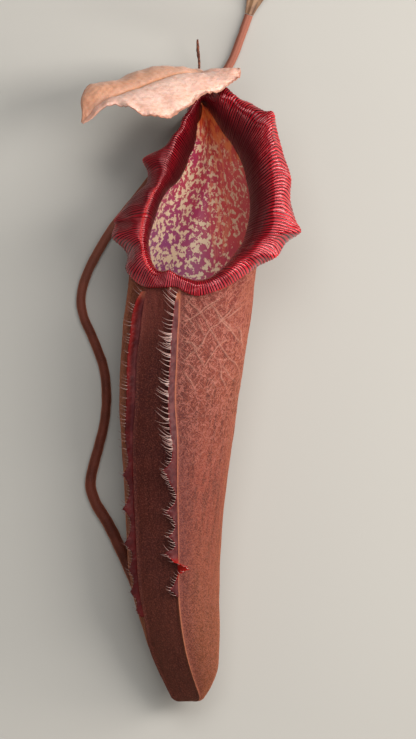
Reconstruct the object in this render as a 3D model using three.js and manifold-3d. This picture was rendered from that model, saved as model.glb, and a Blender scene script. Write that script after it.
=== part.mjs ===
// One pitcher of a tropical pitcher plant, picked with its tendril and lying on its back.
// Millimetres. +Y runs from the closed foot to the mouth, +X to the right of the mouth, +Z up.
// The origin is the middle of the flat spot on the cup's back, on the surface it lies on.
import * as THREE from "three";
import { mergeVertices } from "three/addons/utils/BufferGeometryUtils.js";
import Module from "manifold-3d";

const wasm = await Module();
wasm.setup();

// Driving dimensions
const CUP_WALL = 1.5; // thickness of the cup's wall
const SEAM = 0.35; // gap where one part grows out of the next
const LIP_SEAM = 0.5; // the same between the lip and the cup
const NECK_START = 84; // Y where the round tube ends and the slanted mouth begins
const CAVITY_END = -112; // Y of the lowest point of the hollow
const FACET_FLATNESS = 0.72; // how far the front between the wings is drawn flat
const RIB_HEIGHT = 0.9; // ridge that carries each wing
const LIP_EDGE = 0.8; // thickness of the lip at its two edges
const LIP_SWELL = 1.3; // extra thickness under the crest of the lip
const LIP_RIBS = 84;
const LIP_RIB_HEIGHT = 0.7;
const LIP_SEAT = 0.2; // where across the lip the cup's wall meets it
const LIP_SINK = 0.4; // how far into the lip's back the wall runs before it is cut to fit
const LID_THICKNESS = 1.1;
const WING_THICKNESS = 1.0;
const LOBES_START = 12; // Y below which the wings are cut into lobes
const BRISTLES = 24; // on each wing
const BRISTLE_LENGTH = 7;
const BRISTLE_RADIUS = 0.45;
const SPUR_RADIUS = 0.9;
const SPUR_ANGLE = 176; // where round the neck the spur is rooted
const SPUR_LIFT = 0.3; // how far off the skin its root is centred
const LEAF_THICKNESS = 0.9;

// The tube of the cup, from the mouth down: [Y, left X, right X, top Z, bottom Z, left rib X, right rib X].
// A bottom below zero is pressed flat on the surface that the pitcher lies on.
const TUBE = [
  [96, -31.3, 46.6, 71.6, 3.6, -19.0, 2.0],
  [84, -32.2, 44.0, 71.0, 2.6, -20.8, 0.8],
  [66, -33.3, 41.1, 70.5, 1.4, -23.2, 0.0],
  [42, -34.2, 37.5, 68.5, 0.2, -24.0, -0.9],
  [18, -33.0, 34.2, 66.0, -0.6, -25.5, 0.5],
  [-6, -31.5, 30.9, 63.0, -0.8, -25.2, 0.5],
  [-30, -30.3, 28.2, 60.0, -0.5, -24.2, 0.8],
  [-54, -29.1, 26.7, 56.5, 1.0, -23.2, 1.2],
  [-72, -26.7, 26.1, 53.5, 3.5, -21.8, 1.2],
  [-90, -21.9, 26.4, 50.0, 6.5, -18.4, 2.7],
  [-108, -15.9, 26.1, 45.0, 9.5, -15.0, 5.6],
  [-120, -10.5, 25.2, 40.0, 11.5, -10.2, 8.7],
  [-129, -6.1, 21.9, 34.5, 13.0, -5.9, 11.4],
  [-135, -3.1, 18.3, 30.0, 14.5, -3.0, 13.2],
  [-139.4, -0.9, 15.4, 25.5, 16.5, -0.8, 13.8],
];

// The lip, clockwise from the neck: inner edge, crest, outer edge, and the angle round the tube, from +Z
// towards +X, of the strip of wall that ends there.
const LIP = [
  { inner: [15.0, 220.8, 28.0], crest: [16.2, 223.8, 35.0], outer: [18.0, 228.0, 31.0], angle: 175 },
  { inner: [18.5, 217.0, 30.0], crest: [21.6, 223.8, 40.0], outer: [23.4, 229.8, 35.0], angle: 147 },
  { inner: [23.4, 209.7, 33.0], crest: [27.3, 223.2, 49.0], outer: [28.6, 231.0, 44.0], angle: 122 },
  { inner: [28.1, 202.3, 37.0], crest: [34.8, 217.8, 55.0], outer: [37.2, 223.5, 50.0], angle: 103 },
  { inner: [32.7, 196.4, 40.0], crest: [41.1, 213.6, 60.0], outer: [44.4, 220.2, 53.0], angle: 88 },
  { inner: [36.0, 190.8, 43.0], crest: [47.4, 208.8, 65.0], outer: [52.8, 215.4, 60.0], angle: 79 },
  { inner: [38.4, 186.0, 45.0], crest: [52.2, 204.0, 69.0], outer: [58.5, 214.2, 64.0], angle: 72 },
  { inner: [40.5, 180.6, 47.0], crest: [54.6, 194.4, 71.0], outer: [60.6, 204.0, 62.0], angle: 67 },
  { inner: [42.2, 172.8, 50.0], crest: [57.0, 182.4, 73.0], outer: [64.8, 188.4, 63.0], angle: 62 },
  { inner: [43.8, 163.8, 53.5], crest: [59.4, 171.6, 75.0], outer: [69.0, 175.2, 68.0], angle: 58 },
  { inner: [44.2, 156.0, 56.5], crest: [59.4, 160.8, 76.0], outer: [68.7, 162.0, 64.0], angle: 55 },
  { inner: [43.2, 148.8, 59.0], crest: [59.4, 151.2, 78.0], outer: [72.0, 149.4, 67.0], angle: 51.5 },
  { inner: [41.7, 142.2, 61.5], crest: [57.6, 143.7, 80.0], outer: [74.8, 142.2, 73.0], angle: 48 },
  { inner: [39.2, 135.6, 64.0], crest: [52.8, 137.7, 79.0], outer: [66.0, 135.9, 62.0], angle: 44.5 },
  { inner: [36.2, 131.2, 66.0], crest: [48.0, 131.7, 82.0], outer: [60.4, 127.4, 76.0], angle: 40 },
  { inner: [31.8, 125.7, 68.5], crest: [40.8, 125.7, 79.0], outer: [49.7, 122.1, 68.5], angle: 34.5 },
  { inner: [27.3, 121.2, 70.5], crest: [33.6, 120.3, 80.0], outer: [40.2, 115.5, 73.0], angle: 28 },
  { inner: [23.3, 117.7, 72.0], crest: [27.0, 115.5, 79.5], outer: [31.8, 110.1, 74.0], angle: 21 },
  { inner: [17.3, 114.7, 73.0], crest: [19.2, 111.9, 78.5], outer: [21.6, 105.9, 75.5], angle: 12.5 },
  { inner: [12.4, 114.0, 73.5], crest: [12.6, 110.7, 78.5], outer: [12.6, 104.0, 76.0], angle: 5 },
  { inner: [7.2, 115.2, 73.5], crest: [6.6, 112.2, 78.5], outer: [5.1, 106.2, 76.0], angle: -3 },
  { inner: [1.2, 117.6, 73.5], crest: [0.6, 115.2, 79.5], outer: [0.0, 109.2, 75.5], angle: -11 },
  { inner: [-3.6, 120.0, 72.5], crest: [-4.2, 118.2, 81.0], outer: [-6.0, 108.9, 75.8], angle: -20 },
  { inner: [-7.8, 119.7, 71.0], crest: [-8.4, 117.3, 77.0], outer: [-12.0, 108.9, 72.8], angle: -29 },
  { inner: [-10.8, 120.3, 69.0], crest: [-12.6, 117.3, 74.5], outer: [-17.4, 109.2, 68.5], angle: -39 },
  { inner: [-13.5, 123.6, 66.0], crest: [-17.1, 121.2, 73.0], outer: [-23.4, 111.6, 63.0], angle: -50 },
  { inner: [-15.0, 127.8, 63.0], crest: [-19.8, 127.5, 72.0], outer: [-30.3, 120.0, 60.0], angle: -57 },
  { inner: [-16.0, 135.0, 60.0], crest: [-21.3, 135.0, 70.0], outer: [-29.7, 129.6, 52.0], angle: -62 },
  { inner: [-15.3, 141.0, 57.0], crest: [-21.9, 141.9, 68.0], outer: [-38.5, 139.2, 58.0], angle: -66 },
  { inner: [-13.8, 145.8, 54.0], crest: [-21.0, 147.9, 66.0], outer: [-36.9, 146.4, 52.0], angle: -69.5 },
  { inner: [-12.3, 150.6, 51.0], crest: [-20.1, 152.4, 64.0], outer: [-37.3, 150.0, 55.0], angle: -73 },
  { inner: [-10.2, 157.2, 47.0], crest: [-17.7, 159.3, 60.0], outer: [-30.6, 158.4, 48.0], angle: -77 },
  { inner: [-7.2, 163.8, 43.0], crest: [-14.1, 166.8, 56.0], outer: [-23.4, 166.8, 45.0], angle: -82 },
  { inner: [-3.6, 168.6, 38.0], crest: [-10.2, 173.1, 52.0], outer: [-18.0, 172.2, 42.0], angle: -88 },
  { inner: [0.0, 171.6, 34.0], crest: [-7.8, 179.4, 49.0], outer: [-17.4, 178.8, 40.0], angle: -94 },
  { inner: [3.2, 175.8, 31.0], crest: [-6.6, 186.0, 48.0], outer: [-20.4, 186.0, 44.0], angle: -101 },
  { inner: [6.0, 181.2, 29.0], crest: [-4.2, 190.8, 47.0], outer: [-15.0, 190.2, 43.0], angle: -109 },
  { inner: [9.0, 187.8, 27.5], crest: [-1.5, 196.5, 45.5], outer: [-7.2, 193.8, 40.0], angle: -119 },
  { inner: [12.0, 194.4, 26.5], crest: [3.3, 204.9, 43.0], outer: [-0.6, 202.2, 37.0], angle: -132 },
  { inner: [13.8, 204.0, 26.0], crest: [8.4, 214.8, 40.0], outer: [5.1, 211.2, 34.0], angle: -148 },
  { inner: [15.0, 213.6, 26.5], crest: [12.3, 221.4, 37.0], outer: [8.2, 220.8, 31.4], angle: -167 },
];

// The lid, from its notched base to its curled tip: far edge, midrib, near edge.
const LID = [
  { far: [15.8, 227.7, 29.4], midrib: [18.0, 228.8, 30.3], near: [20.2, 229.5, 32.0] },
  { far: [15.6, 240.0, 22.0], midrib: [16.8, 235.2, 33.0], near: [36.0, 240.9, 40.0] },
  { far: [8.4, 240.6, 20.0], midrib: [12.6, 236.4, 38.5], near: [38.1, 235.8, 46.0] },
  { far: [-2.4, 241.2, 24.0], midrib: [6.6, 237.3, 45.5], near: [27.6, 228.0, 58.0] },
  { far: [-14.4, 241.5, 27.0], midrib: [-3.6, 235.5, 54.0], near: [14.4, 222.9, 68.0] },
  { far: [-26.4, 238.2, 37.0], midrib: [-15.6, 231.0, 63.0], near: [3.0, 213.9, 81.0] },
  { far: [-37.2, 232.8, 47.0], midrib: [-24.6, 227.4, 68.5], near: [-9.0, 210.3, 89.0] },
  { far: [-46.2, 232.2, 56.0], midrib: [-33.6, 223.8, 74.0], near: [-22.2, 213.6, 90.0] },
  { far: [-53.4, 229.2, 66.0], midrib: [-41.4, 220.2, 77.5], near: [-33.0, 218.1, 86.0] },
  { far: [-56.7, 221.4, 73.0], midrib: [-47.4, 216.0, 79.0], near: [-43.8, 216.0, 84.0] },
  { far: [-56.1, 214.2, 77.0], midrib: [-52.2, 211.2, 78.0], near: [-49.8, 210.0, 80.0] },
  { far: [-56.3, 208.0, 75.4], midrib: [-55.8, 207.6, 76.0], near: [-55.2, 207.2, 76.8] },
];

// Where the foot of the cup turns under and narrows into the tendril: [X, Y, Z, radius].
const FOOT = [
  [7.2, -120.0, 26.0, 8.0],
  [7.4, -127.0, 21.5, 8.2],
  [6.8, -131.2, 15.0, 7.2],
  [3.8, -131.4, 9.2, 6.0],
  [-0.6, -126.8, 6.0, 5.2],
  [-4.6, -118.8, 4.9, 4.8],
];

// The tendril, from the foot, along the surface, under the mouth and on to the leaf: [X, Y, radius].
const TENDRIL = [
  [-5.0, -118.0, 4.7],
  [-10.8, -102.6, 4.3],
  [-17.4, -84.0, 4.0],
  [-25.8, -64.8, 3.8],
  [-33.9, -46.8, 3.7],
  [-41.4, -31.8, 3.6],
  [-48.0, -21.0, 3.4],
  [-51.6, -10.2, 3.3],
  [-50.4, 0.0, 3.2],
  [-46.8, 13.2, 3.1],
  [-43.2, 28.8, 3.0],
  [-42.0, 44.4, 3.0],
  [-43.8, 61.8, 2.9],
  [-50.4, 79.8, 2.9],
  [-55.8, 92.4, 2.9],
  [-57.3, 103.2, 2.9],
  [-54.6, 115.8, 2.9],
  [-48.0, 129.6, 2.9],
  [-37.8, 146.4, 2.8],
  [-24.6, 162.6, 2.8],
  [-9.6, 182.4, 2.7],
  [5.4, 204.6, 2.6],
  [18.6, 224.4, 2.5],
  [28.2, 237.6, 2.5],
  [34.5, 248.4, 2.5],
  [39.9, 262.8, 2.5],
  [43.8, 274.0, 2.6],
];

// The cut tip of the leaf that the tendril grows from: [X, Y, half width].
const LEAF = [
  [43.9, 274.4, 2.6],
  [45.6, 279.0, 3.6],
  [47.6, 284.5, 5.2],
  [49.8, 290.0, 7.0],
  [52.0, 295.5, 9.0],
];

// The thin spur behind the lid, after its root on the back of the neck: [X, Y, Z, share of its radius].
const SPUR = [
  [13.6, 226.0, 17.2, 0.8],
  [13.9, 244.0, 14.5, 0.8],
  [13.2, 252.0, 16.0, 1.1],
  [12.9, 258.8, 18.0, 0.6],
];

// The wings: [Y, width, lean from upright in degrees, where minus is to the left].
const LEFT_WING = [
  [107, 2.4, -58],
  [101, 4.6, -62],
  [90, 5.6, -66],
  [70, 5.0, -70],
  [50, 4.6, -72],
  [30, 4.4, -72],
  [14, 3.0, -72],
  [5, 1.8, -72],
  [-2.8, 5.6, -72],
  [-12, 1.4, -70],
  [-23.3, 6.4, -72],
  [-32, 1.4, -70],
  [-44.4, 6.4, -74],
  [-51, 1.4, -70],
  [-60, 4.4, -76],
  [-66, 1.4, -72],
  [-73, 4.4, -78],
  [-79, 1.4, -74],
  [-84, 2.8, -78],
  [-88, 1.2, -78],
];
const RIGHT_WING = [
  [106, 1.6, -34],
  [99, 3.2, -40],
  [88, 4.2, -46],
  [66, 4.4, -52],
  [44, 4.6, -55],
  [26, 4.8, -56],
  [14, 3.8, -50],
  [6, 4.6, -52],
  [0, 9.8, -62],
  [-8, 6.0, -50],
  [-16, 1.6, -20],
  [-25, 8.4, -60],
  [-33, 2.2, -40],
  [-40, 7.0, -56],
  [-45, 2.4, -36],
  [-49.7, 9.6, -62],
  [-54, 6.0, -40],
  [-58.8, 8.6, 52],
  [-64.5, 2.2, -20],
  [-72, 6.0, -62],
  [-76, 1.4, -50],
];

// Curves through rows of numbers
function cubic(a, b, slopeA, slopeB, t) {
  const t2 = t * t;
  const t3 = t2 * t;
  return a * (2 * t3 - 3 * t2 + 1) + slopeA * (t3 - 2 * t2 + t) + b * (3 * t2 - 2 * t3) + slopeB * (t3 - t2);
}

// Value of column c at key x, for rows whose first number falls steadily.
function along(rows, x, c) {
  let i = 0;
  while (i < rows.length - 2 && x < rows[i + 1][0]) i++;
  const slope = (k) => {
    const p = rows[Math.max(k - 1, 0)];
    const q = rows[Math.min(k + 1, rows.length - 1)];
    return (q[c] - p[c]) / (q[0] - p[0]);
  };
  const span = rows[i + 1][0] - rows[i][0];
  const t = (x - rows[i][0]) / span;
  return cubic(rows[i][c], rows[i + 1][c], slope(i) * span, slope(i + 1) * span, t);
}

// Row at place t of an even run of rows, open or closed on itself.
function spline(rows, t, closed) {
  const n = rows.length;
  const at = (k) => rows[closed ? ((k % n) + n) % n : Math.min(Math.max(k, 0), n - 1)];
  const i = closed ? Math.floor(t) : Math.min(Math.floor(t), n - 2);
  const f = t - i;
  return at(i).map((a, c) => {
    const b = at(i + 1)[c];
    return cubic(a, b, (b - at(i - 1)[c]) / 2, (at(i + 2)[c] - a) / 2, f);
  });
}

// Rows at evenly spaced places along an open run.
function splineRows(rows, steps) {
  return Array.from({ length: steps + 1 }, (_, i) => spline(rows, (i / steps) * (rows.length - 1), false));
}

const vec = (row) => new THREE.Vector3(row[0], row[1], row[2]);
const radians = THREE.MathUtils.degToRad;
const { clamp, smoothstep } = THREE.MathUtils;

// Closed surfaces from rings of points
function geometryFrom(points, faces) {
  const numbers = points.flatMap((p) => [p.x, p.y, p.z]);
  return new THREE.BufferGeometry()
    .setAttribute("position", new THREE.Float32BufferAttribute(numbers, 3))
    .setIndex(faces);
}

// Rings of equal length joined in order. A capped run is closed at both ends, a looped one on itself.
function loft(rings, looped = false) {
  const n = rings[0].length;
  const points = rings.flat();
  const faces = [];
  const last = looped ? rings.length : rings.length - 1;
  for (let i = 0; i < last; i++) {
    const k = (i + 1) % rings.length;
    for (let j = 0; j < n; j++) {
      const a = i * n + j;
      const b = i * n + ((j + 1) % n);
      const c = k * n + j;
      const d = k * n + ((j + 1) % n);
      faces.push(a, b, c, b, d, c);
    }
  }
  if (!looped)
    for (const [i, turn] of [
      [0, -1],
      [rings.length - 1, 1],
    ]) {
      const centre = points.length;
      points.push(rings[i].reduce((s, p) => s.add(p), new THREE.Vector3()).divideScalar(n));
      for (let j = 0; j < n; j++) {
        const a = i * n + j;
        const b = i * n + ((j + 1) % n);
        faces.push(centre, turn > 0 ? a : b, turn > 0 ? b : a);
      }
    }
  return geometryFrom(points, faces);
}

// A blade: a grid of points thickened away from its faces, split alike on both.
function blade(grid, thickness) {
  const rows = grid.length;
  const cols = grid[0].length;
  const at = (i, j) => grid[Math.min(Math.max(i, 0), rows - 1)][Math.min(Math.max(j, 0), cols - 1)];
  const top = [];
  const bottom = [];
  for (let i = 0; i < rows; i++)
    for (let j = 0; j < cols; j++) {
      const down = at(i + 1, j).clone().sub(at(i - 1, j));
      const across = at(i, j + 1).clone().sub(at(i, j - 1));
      const half = down.cross(across).normalize().multiplyScalar(thickness / 2);
      top.push(at(i, j).clone().add(half));
      bottom.push(at(i, j).clone().sub(half));
    }
  const under = rows * cols;
  const faces = [];
  for (let i = 0; i < rows - 1; i++)
    for (let j = 0; j < cols - 1; j++) {
      const a = i * cols + j;
      const b = a + 1;
      const c = a + cols;
      const d = c + 1;
      faces.push(a, c, b, b, c, d);
      faces.push(a + under, b + under, c + under, b + under, d + under, c + under);
    }
  const edge = [];
  for (let j = 0; j < cols - 1; j++) edge.push([j, j + 1]);
  for (let i = 0; i < rows - 1; i++) edge.push([i * cols + cols - 1, (i + 1) * cols + cols - 1]);
  for (let j = cols - 1; j > 0; j--) edge.push([(rows - 1) * cols + j, (rows - 1) * cols + j - 1]);
  for (let i = rows - 1; i > 0; i--) edge.push([i * cols, (i - 1) * cols]);
  for (const [a, b] of edge) faces.push(a, b, a + under, b, b + under, a + under);
  return geometryFrom([...top, ...bottom], faces);
}

// A round stem through points, with a radius at each and flat ends.
function stem(points, radii, sides) {
  let side = new THREE.Vector3(0, 0, 1);
  const rings = points.map((p, i) => {
    const before = points[Math.max(i - 1, 0)];
    const after = points[Math.min(i + 1, points.length - 1)];
    const tangent = after.clone().sub(before).normalize();
    side = side.clone().addScaledVector(tangent, -side.dot(tangent)).normalize();
    const other = tangent.clone().cross(side);
    return Array.from({ length: sides }, (_, k) => {
      const turn = ((k + 0.5) / sides) * 2 * Math.PI;
      return p
        .clone()
        .addScaledVector(side, radii[i] * Math.cos(turn))
        .addScaledVector(other, radii[i] * Math.sin(turn));
    });
  });
  return loft(rings);
}

// Solids, for what has to be fused
function solid(geometry) {
  const bare = mergeVertices(geometry.clone(), 1e-4);
  return new wasm.Manifold(
    new wasm.Mesh({
      numProp: 3,
      vertProperties: bare.getAttribute("position").array,
      triVerts: new Uint32Array(bare.index.array),
    }),
  );
}

function meshOf(body) {
  const whole = body.getMesh();
  return new THREE.BufferGeometry()
    .setAttribute("position", new THREE.BufferAttribute(whole.vertProperties, 3))
    .setIndex(new THREE.BufferAttribute(whole.triVerts, 1));
}

// The cup
// Point of the tube's skin at height y and angle turn, drawn in by inset; lift raises it as a rib.
function tubePoint(y, turn, inset = 0, lift = 0) {
  const [left, right, top, bottom] = [1, 2, 3, 4].map((c) => along(TUBE, y, c));
  const middle = new THREE.Vector3((left + right) / 2, y, (top + bottom) / 2);
  const wide = (right - left) / 2 - inset;
  const deep = (top - bottom) / 2 - inset;
  const round = (a) => new THREE.Vector3(wide * Math.sin(a), 0, deep * Math.cos(a));
  const [from, to] = ribTurns(y);
  const point = round(turn);
  if (turn > from && turn < to) {
    const chord = round(from).lerp(round(to), (turn - from) / (to - from));
    point.lerp(chord, FACET_FLATNESS);
  }
  point.multiplyScalar(1 + lift / point.length()).add(middle);
  point.z = Math.max(point.z, inset);
  return point;
}

// Angles of the two ribs at height y.
function ribTurns(y) {
  const [left, right, , , ribLeft, ribRight] = [1, 2, 3, 4, 5, 6].map((c) => along(TUBE, y, c));
  const share = (x) => Math.min(Math.max((x - (left + right) / 2) / ((right - left) / 2), -0.985), 0.985);
  return [Math.asin(share(ribLeft)), Math.asin(share(ribRight))];
}

const FACET_STRIPS = 10;
const RIGHT_STRIPS = 20;
const BACK_STRIPS = 28;
const RIGHT_END = radians(92);

// Angle of strip k: across the front facet first, then down the right side and round the back.
function stripTurn(k, y) {
  const [from, to] = ribTurns(y);
  if (k <= FACET_STRIPS) return from + ((to - from) * k) / FACET_STRIPS;
  const right = k - FACET_STRIPS;
  if (right <= RIGHT_STRIPS) return to + ((RIGHT_END - to) * right) / RIGHT_STRIPS;
  return RIGHT_END + ((from + 2 * Math.PI - RIGHT_END) * (right - RIGHT_STRIPS)) / BACK_STRIPS;
}

const STRIPS = FACET_STRIPS + RIGHT_STRIPS + BACK_STRIPS;

// One point for each strip, from its angle at height y and from how far a rib lifts it.
function ring(y, pointAt) {
  return Array.from({ length: STRIPS }, (_, k) =>
    pointAt(stripTurn(k, y), k === 0 || k === FACET_STRIPS ? RIB_HEIGHT : 0),
  );
}

// Place round the lip at which the strip of wall at an angle ends.
function lipPlace(turn) {
  const wanted = THREE.MathUtils.euclideanModulo(175 - THREE.MathUtils.radToDeg(turn), 360);
  const falls = LIP.map((s) => 175 - s.angle).concat(360);
  const i = falls.findIndex((fall, k) => wanted <= falls[k + 1]);
  return i + (wanted - falls[i]) / (falls[i + 1] - falls[i]);
}

// How near an angle round the tube is to the mouth's narrow neck: 1 there, 0 on the far side.
function nearNeck(turn, reach) {
  return smoothstep(Math.cos(turn - radians(LIP[0].angle)), reach, 0.95);
}

// Way of one strip of wall from the tube up into the lip. At the mouth's narrow neck it ends under the
// inner edge, and climbs there like the bottom of a gutter that bends to the left.
function neckStrip(turn, lift = 0) {
  const start = tubePoint(NECK_START, turn, 0, lift);
  const slope = tubePoint(NECK_START, turn).sub(tubePoint(NECK_START - 6, turn)).divideScalar(6);
  const place = lipPlace(turn);
  const side = clamp(Math.sin(radians(LIP[0].angle) - turn) / 0.42, -1, 1);
  const underEdge = new THREE.Vector3(0.7 * side, 0.35, -0.8).setLength(LIP_EDGE + LIP_SEAM + CUP_WALL);
  const end = lipBack(place, LIP_SEAT, -LIP_SINK).lerp(lipPoint(place, 0).add(underEdge), nearNeck(turn, 0.7));
  const gutter = nearNeck(turn, -0.3);
  const facing = lipNormal(place, LIP_SEAT);
  const bend = clamp(0.62 + 0.75 * facing.y, 0, 0.62) * (1 - gutter);
  const climbing = new THREE.Vector3(0.12 * side - 0.25, 0.6, 0.75);
  const rise = new THREE.Vector3(0, 1, 0.5).lerp(climbing, gutter).multiplyScalar(1 - bend);
  rise.addScaledVector(facing, bend);
  const reach = end.distanceTo(start);
  slope.multiplyScalar(reach);
  rise.multiplyScalar(reach);
  return (t) => vec(["x", "y", "z"].map((c) => cubic(start[c], end[c], slope[c], rise[c], t)));
}

// Point beside the neck's skin, inset from it at right angles.
function besideNeck(turn, t, inset) {
  const step = radians(2);
  const round = neckStrip(turn + step)(t).sub(neckStrip(turn - step)(t));
  const up = neckStrip(turn)(t + 0.02).sub(neckStrip(turn)(t - 0.02));
  return neckStrip(turn)(t).addScaledVector(round.cross(up).normalize(), -inset);
}

// Point of the neck's inner skin, which turns as it nears the lip to end within the lip's thickness.
function innerNeckPoint(turn, t) {
  const place = lipPlace(turn);
  const breadth = lipPoint(place, LIP_SEAT).distanceTo(lipPoint(place, 0)) / LIP_SEAT;
  const seat = lipBack(place, Math.max(LIP_SEAT - CUP_WALL / breadth, 0.06), -LIP_SINK);
  const share = smoothstep(t, 0.75, 1) * (1 - nearNeck(turn, 0.7));
  return besideNeck(turn, t, CUP_WALL).addScaledVector(seat.sub(besideNeck(turn, 1, CUP_WALL)), share);
}

// Rings of wall from the tube up into the lip
function outerNeckRing(t) {
  return ring(NECK_START, (turn, ridge) => neckStrip(turn, ridge)(t));
}

function innerNeckRing(t) {
  return ring(NECK_START, (turn) => innerNeckPoint(turn, t));
}

const OUTER_STATIONS = [-139.4, -135, -129, -120, -109, -97, -85, -72, -57, -41, -24, -6, 12, 30, 48, 66];
const INNER_STATIONS = [66, 40, 12, -16, -44, -70, -92, CAVITY_END];
const NECK_SHARES = [0, 0.14, 0.28, 0.42, 0.56, 0.7, 0.84, 1];
const INNER_NECK_SHARES = [1, 0.84, 0.6, 0.36, 0];

function cupGeometry() {
  const rings = [
    ...OUTER_STATIONS.map((y) => ring(y, (turn, ridge) => tubePoint(y, turn, 0, ridge))),
    ...NECK_SHARES.map(outerNeckRing),
    ...INNER_NECK_SHARES.map(innerNeckRing),
    ...INNER_STATIONS.map((y) => ring(y, (turn) => tubePoint(y, turn, CUP_WALL))),
  ];
  const foot = stem(FOOT.map(vec), FOOT.map((f) => f[3]), 16);
  const room = lipRings(LIP_RIBS, () => 0, LIP_SEAM);
  return meshOf(solid(loft(rings)).add(solid(foot)).subtract(solid(loft(room, true))));
}

// The lip
function lipCurve(place, part) {
  return vec(spline(LIP.map((s) => s[part]), place, true));
}

// Point on the lip's face: across is 0 at the inner edge, 0.5 at the crest and 1 at the outer edge.
function lipPoint(place, across) {
  const [inner, crest, outer] = ["inner", "crest", "outer"].map((part) => lipCurve(place, part));
  const level = outer.clone().sub(inner).multiplyScalar(0.55);
  level.z *= 0.25;
  const rise = crest.clone().sub(inner).multiply(new THREE.Vector3(0.5, 0.5, 1.5));
  const fall = outer.clone().sub(crest).multiply(new THREE.Vector3(0.6, 0.6, 1.5));
  const half = across <= 0.5;
  const t = half ? across * 2 : across * 2 - 1;
  const [a, b, slopeA, slopeB] = half ? [inner, crest, rise, level] : [crest, outer, level, fall];
  return vec(["x", "y", "z"].map((c) => cubic(a[c], b[c], slopeA[c], slopeB[c], t)));
}

function lipNormal(place, across) {
  const step = 0.02;
  const round = lipPoint(place + step * 5, across).sub(lipPoint(place - step * 5, across));
  const lower = Math.max(across - step, 0);
  const upper = Math.min(across + step, 1);
  const over = lipPoint(place, upper).sub(lipPoint(place, lower));
  return round.cross(over).normalize();
}

// Point under the lip, a gap away from its back. The lip is thinner where its two slopes stand close together.
function lipBack(place, across, gap = 0) {
  const breadth = lipPoint(place, 0.25).distanceTo(lipPoint(place, 0.8));
  const swell = LIP_SWELL * clamp((breadth - 4) / 7, 0, 1);
  const depth = LIP_EDGE + swell * Math.sin(Math.PI * across) ** 2;
  return lipPoint(place, across).addScaledVector(lipNormal(place, across), -depth - gap);
}

// Places round the lip at even distances along its crest.
function evenPlaces(count) {
  const fine = 20 * LIP.length;
  const lengths = [0];
  for (let i = 1; i <= fine; i++) {
    const a = lipPoint((i - 1) / 20, 0.6);
    lengths.push(lengths[i - 1] + a.distanceTo(lipPoint(i / 20, 0.6)));
  }
  let i = 0;
  return Array.from({ length: count }, (_, k) => {
    const wanted = (lengths[fine] * k) / count;
    while (lengths[i + 1] < wanted) i++;
    return (i + (wanted - lengths[i]) / (lengths[i + 1] - lengths[i])) / 20;
  });
}

const LIP_FACE = [0, 0.08, 0.2, 0.34, 0.48, 0.62, 0.76, 0.9, 1];
const LIP_BACK = [0.99, 0.82, 0.62, 0.42, 0.22, 0.01];

// Rings round the lip, raised on the face by rib(ring number) and grown outwards all round.
function lipRings(count, rib, grow) {
  return evenPlaces(count).map((place, i) => {
    const face = LIP_FACE.map((across) => {
      const height = grow + rib(i) * Math.sqrt(Math.sin(Math.PI * (0.06 + 0.88 * across)));
      return lipPoint(place, across).addScaledVector(lipNormal(place, across), height);
    });
    const back = LIP_BACK.map((across) => lipBack(place, across, grow));
    const inwards = lipPoint(place, 0).sub(lipPoint(place, 0.05)).setLength(grow);
    const outwards = lipPoint(place, 1).sub(lipPoint(place, 0.95)).setLength(grow);
    for (const point of [face[0], back[back.length - 1]]) point.add(inwards);
    for (const point of [face[face.length - 1], back[0]]) point.add(outwards);
    return [...face, ...back].reverse();
  });
}

// Every other ring of the lip is a rib.
function lipGeometry() {
  return loft(lipRings(2 * LIP_RIBS, (i) => (i % 2 ? 0 : LIP_RIB_HEIGHT), 0), true);
}

// The lid
const LID_ROWS = 22;
const LID_COLUMNS = 14;
const LID_ARCH = 3.5; // how far each half of the lid bows out beside the sunken midrib
const LID_WAVE = 1.6; // depth of the waves along its margin

function lidPoint(place, across) {
  const edge = vec(spline(LID.map((s) => (across < 0 ? s.far : s.near)), place, false));
  const middle = vec(spline(LID.map((s) => s.midrib), place, false));
  const share = Math.abs(across);
  const point = middle.clone().lerp(edge, share);
  const taper = Math.sin(Math.PI * Math.min(place / (LID.length - 1), 1));
  const wave = LID_WAVE * taper * share ** 3 * Math.sin(place * 5.2 + across);
  point.y += LID_ARCH * taper * Math.sin(Math.PI * share ** 0.8) + wave * 0.6;
  point.z += wave;
  return point;
}

function lidGeometry() {
  const grid = Array.from({ length: LID_ROWS + 1 }, (_, i) =>
    Array.from({ length: LID_COLUMNS + 1 }, (_, j) =>
      lidPoint((i / LID_ROWS) * (LID.length - 1), (j / LID_COLUMNS) * 2 - 1),
    ),
  );
  return blade(grid, LID_THICKNESS);
}

// The wings
// Foot of a wing on its rib, and the way it stands out from the cup there.
function wingFoot(y, side) {
  const low = Math.min(y, NECK_START);
  const turn = ribTurns(low)[side];
  const ridge = tubePoint(low, turn, 0, RIB_HEIGHT);
  const outward = ridge.clone().sub(tubePoint(low, turn, 8)).normalize();
  if (y > NECK_START) {
    const strip = neckStrip(turn, RIB_HEIGHT);
    let t = 0;
    while (t < 1 && strip(t).y < y) t += 0.005;
    ridge.copy(strip(t));
  }
  return { skin: ridge.addScaledVector(outward, SEAM), outward };
}

function wingDirection(rows, y) {
  const lean = radians(along(rows, y, 2));
  return new THREE.Vector3(Math.sin(lean), 0, Math.cos(lean));
}

// Heights along a wing: wide apart beside the plain edge, close together down its lobes.
function wingHeights(rows) {
  const [first, last] = [rows[0][0], rows[rows.length - 1][0]];
  const plain = Math.round((first - LOBES_START) / 5);
  const lobed = Math.round((LOBES_START - last) / 2.2);
  const even = (from, to, count) =>
    Array.from({ length: count }, (_, i) => from + ((to - from) * i) / count);
  return [...even(first, LOBES_START, plain), ...even(LOBES_START, last, lobed), last];
}

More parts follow.
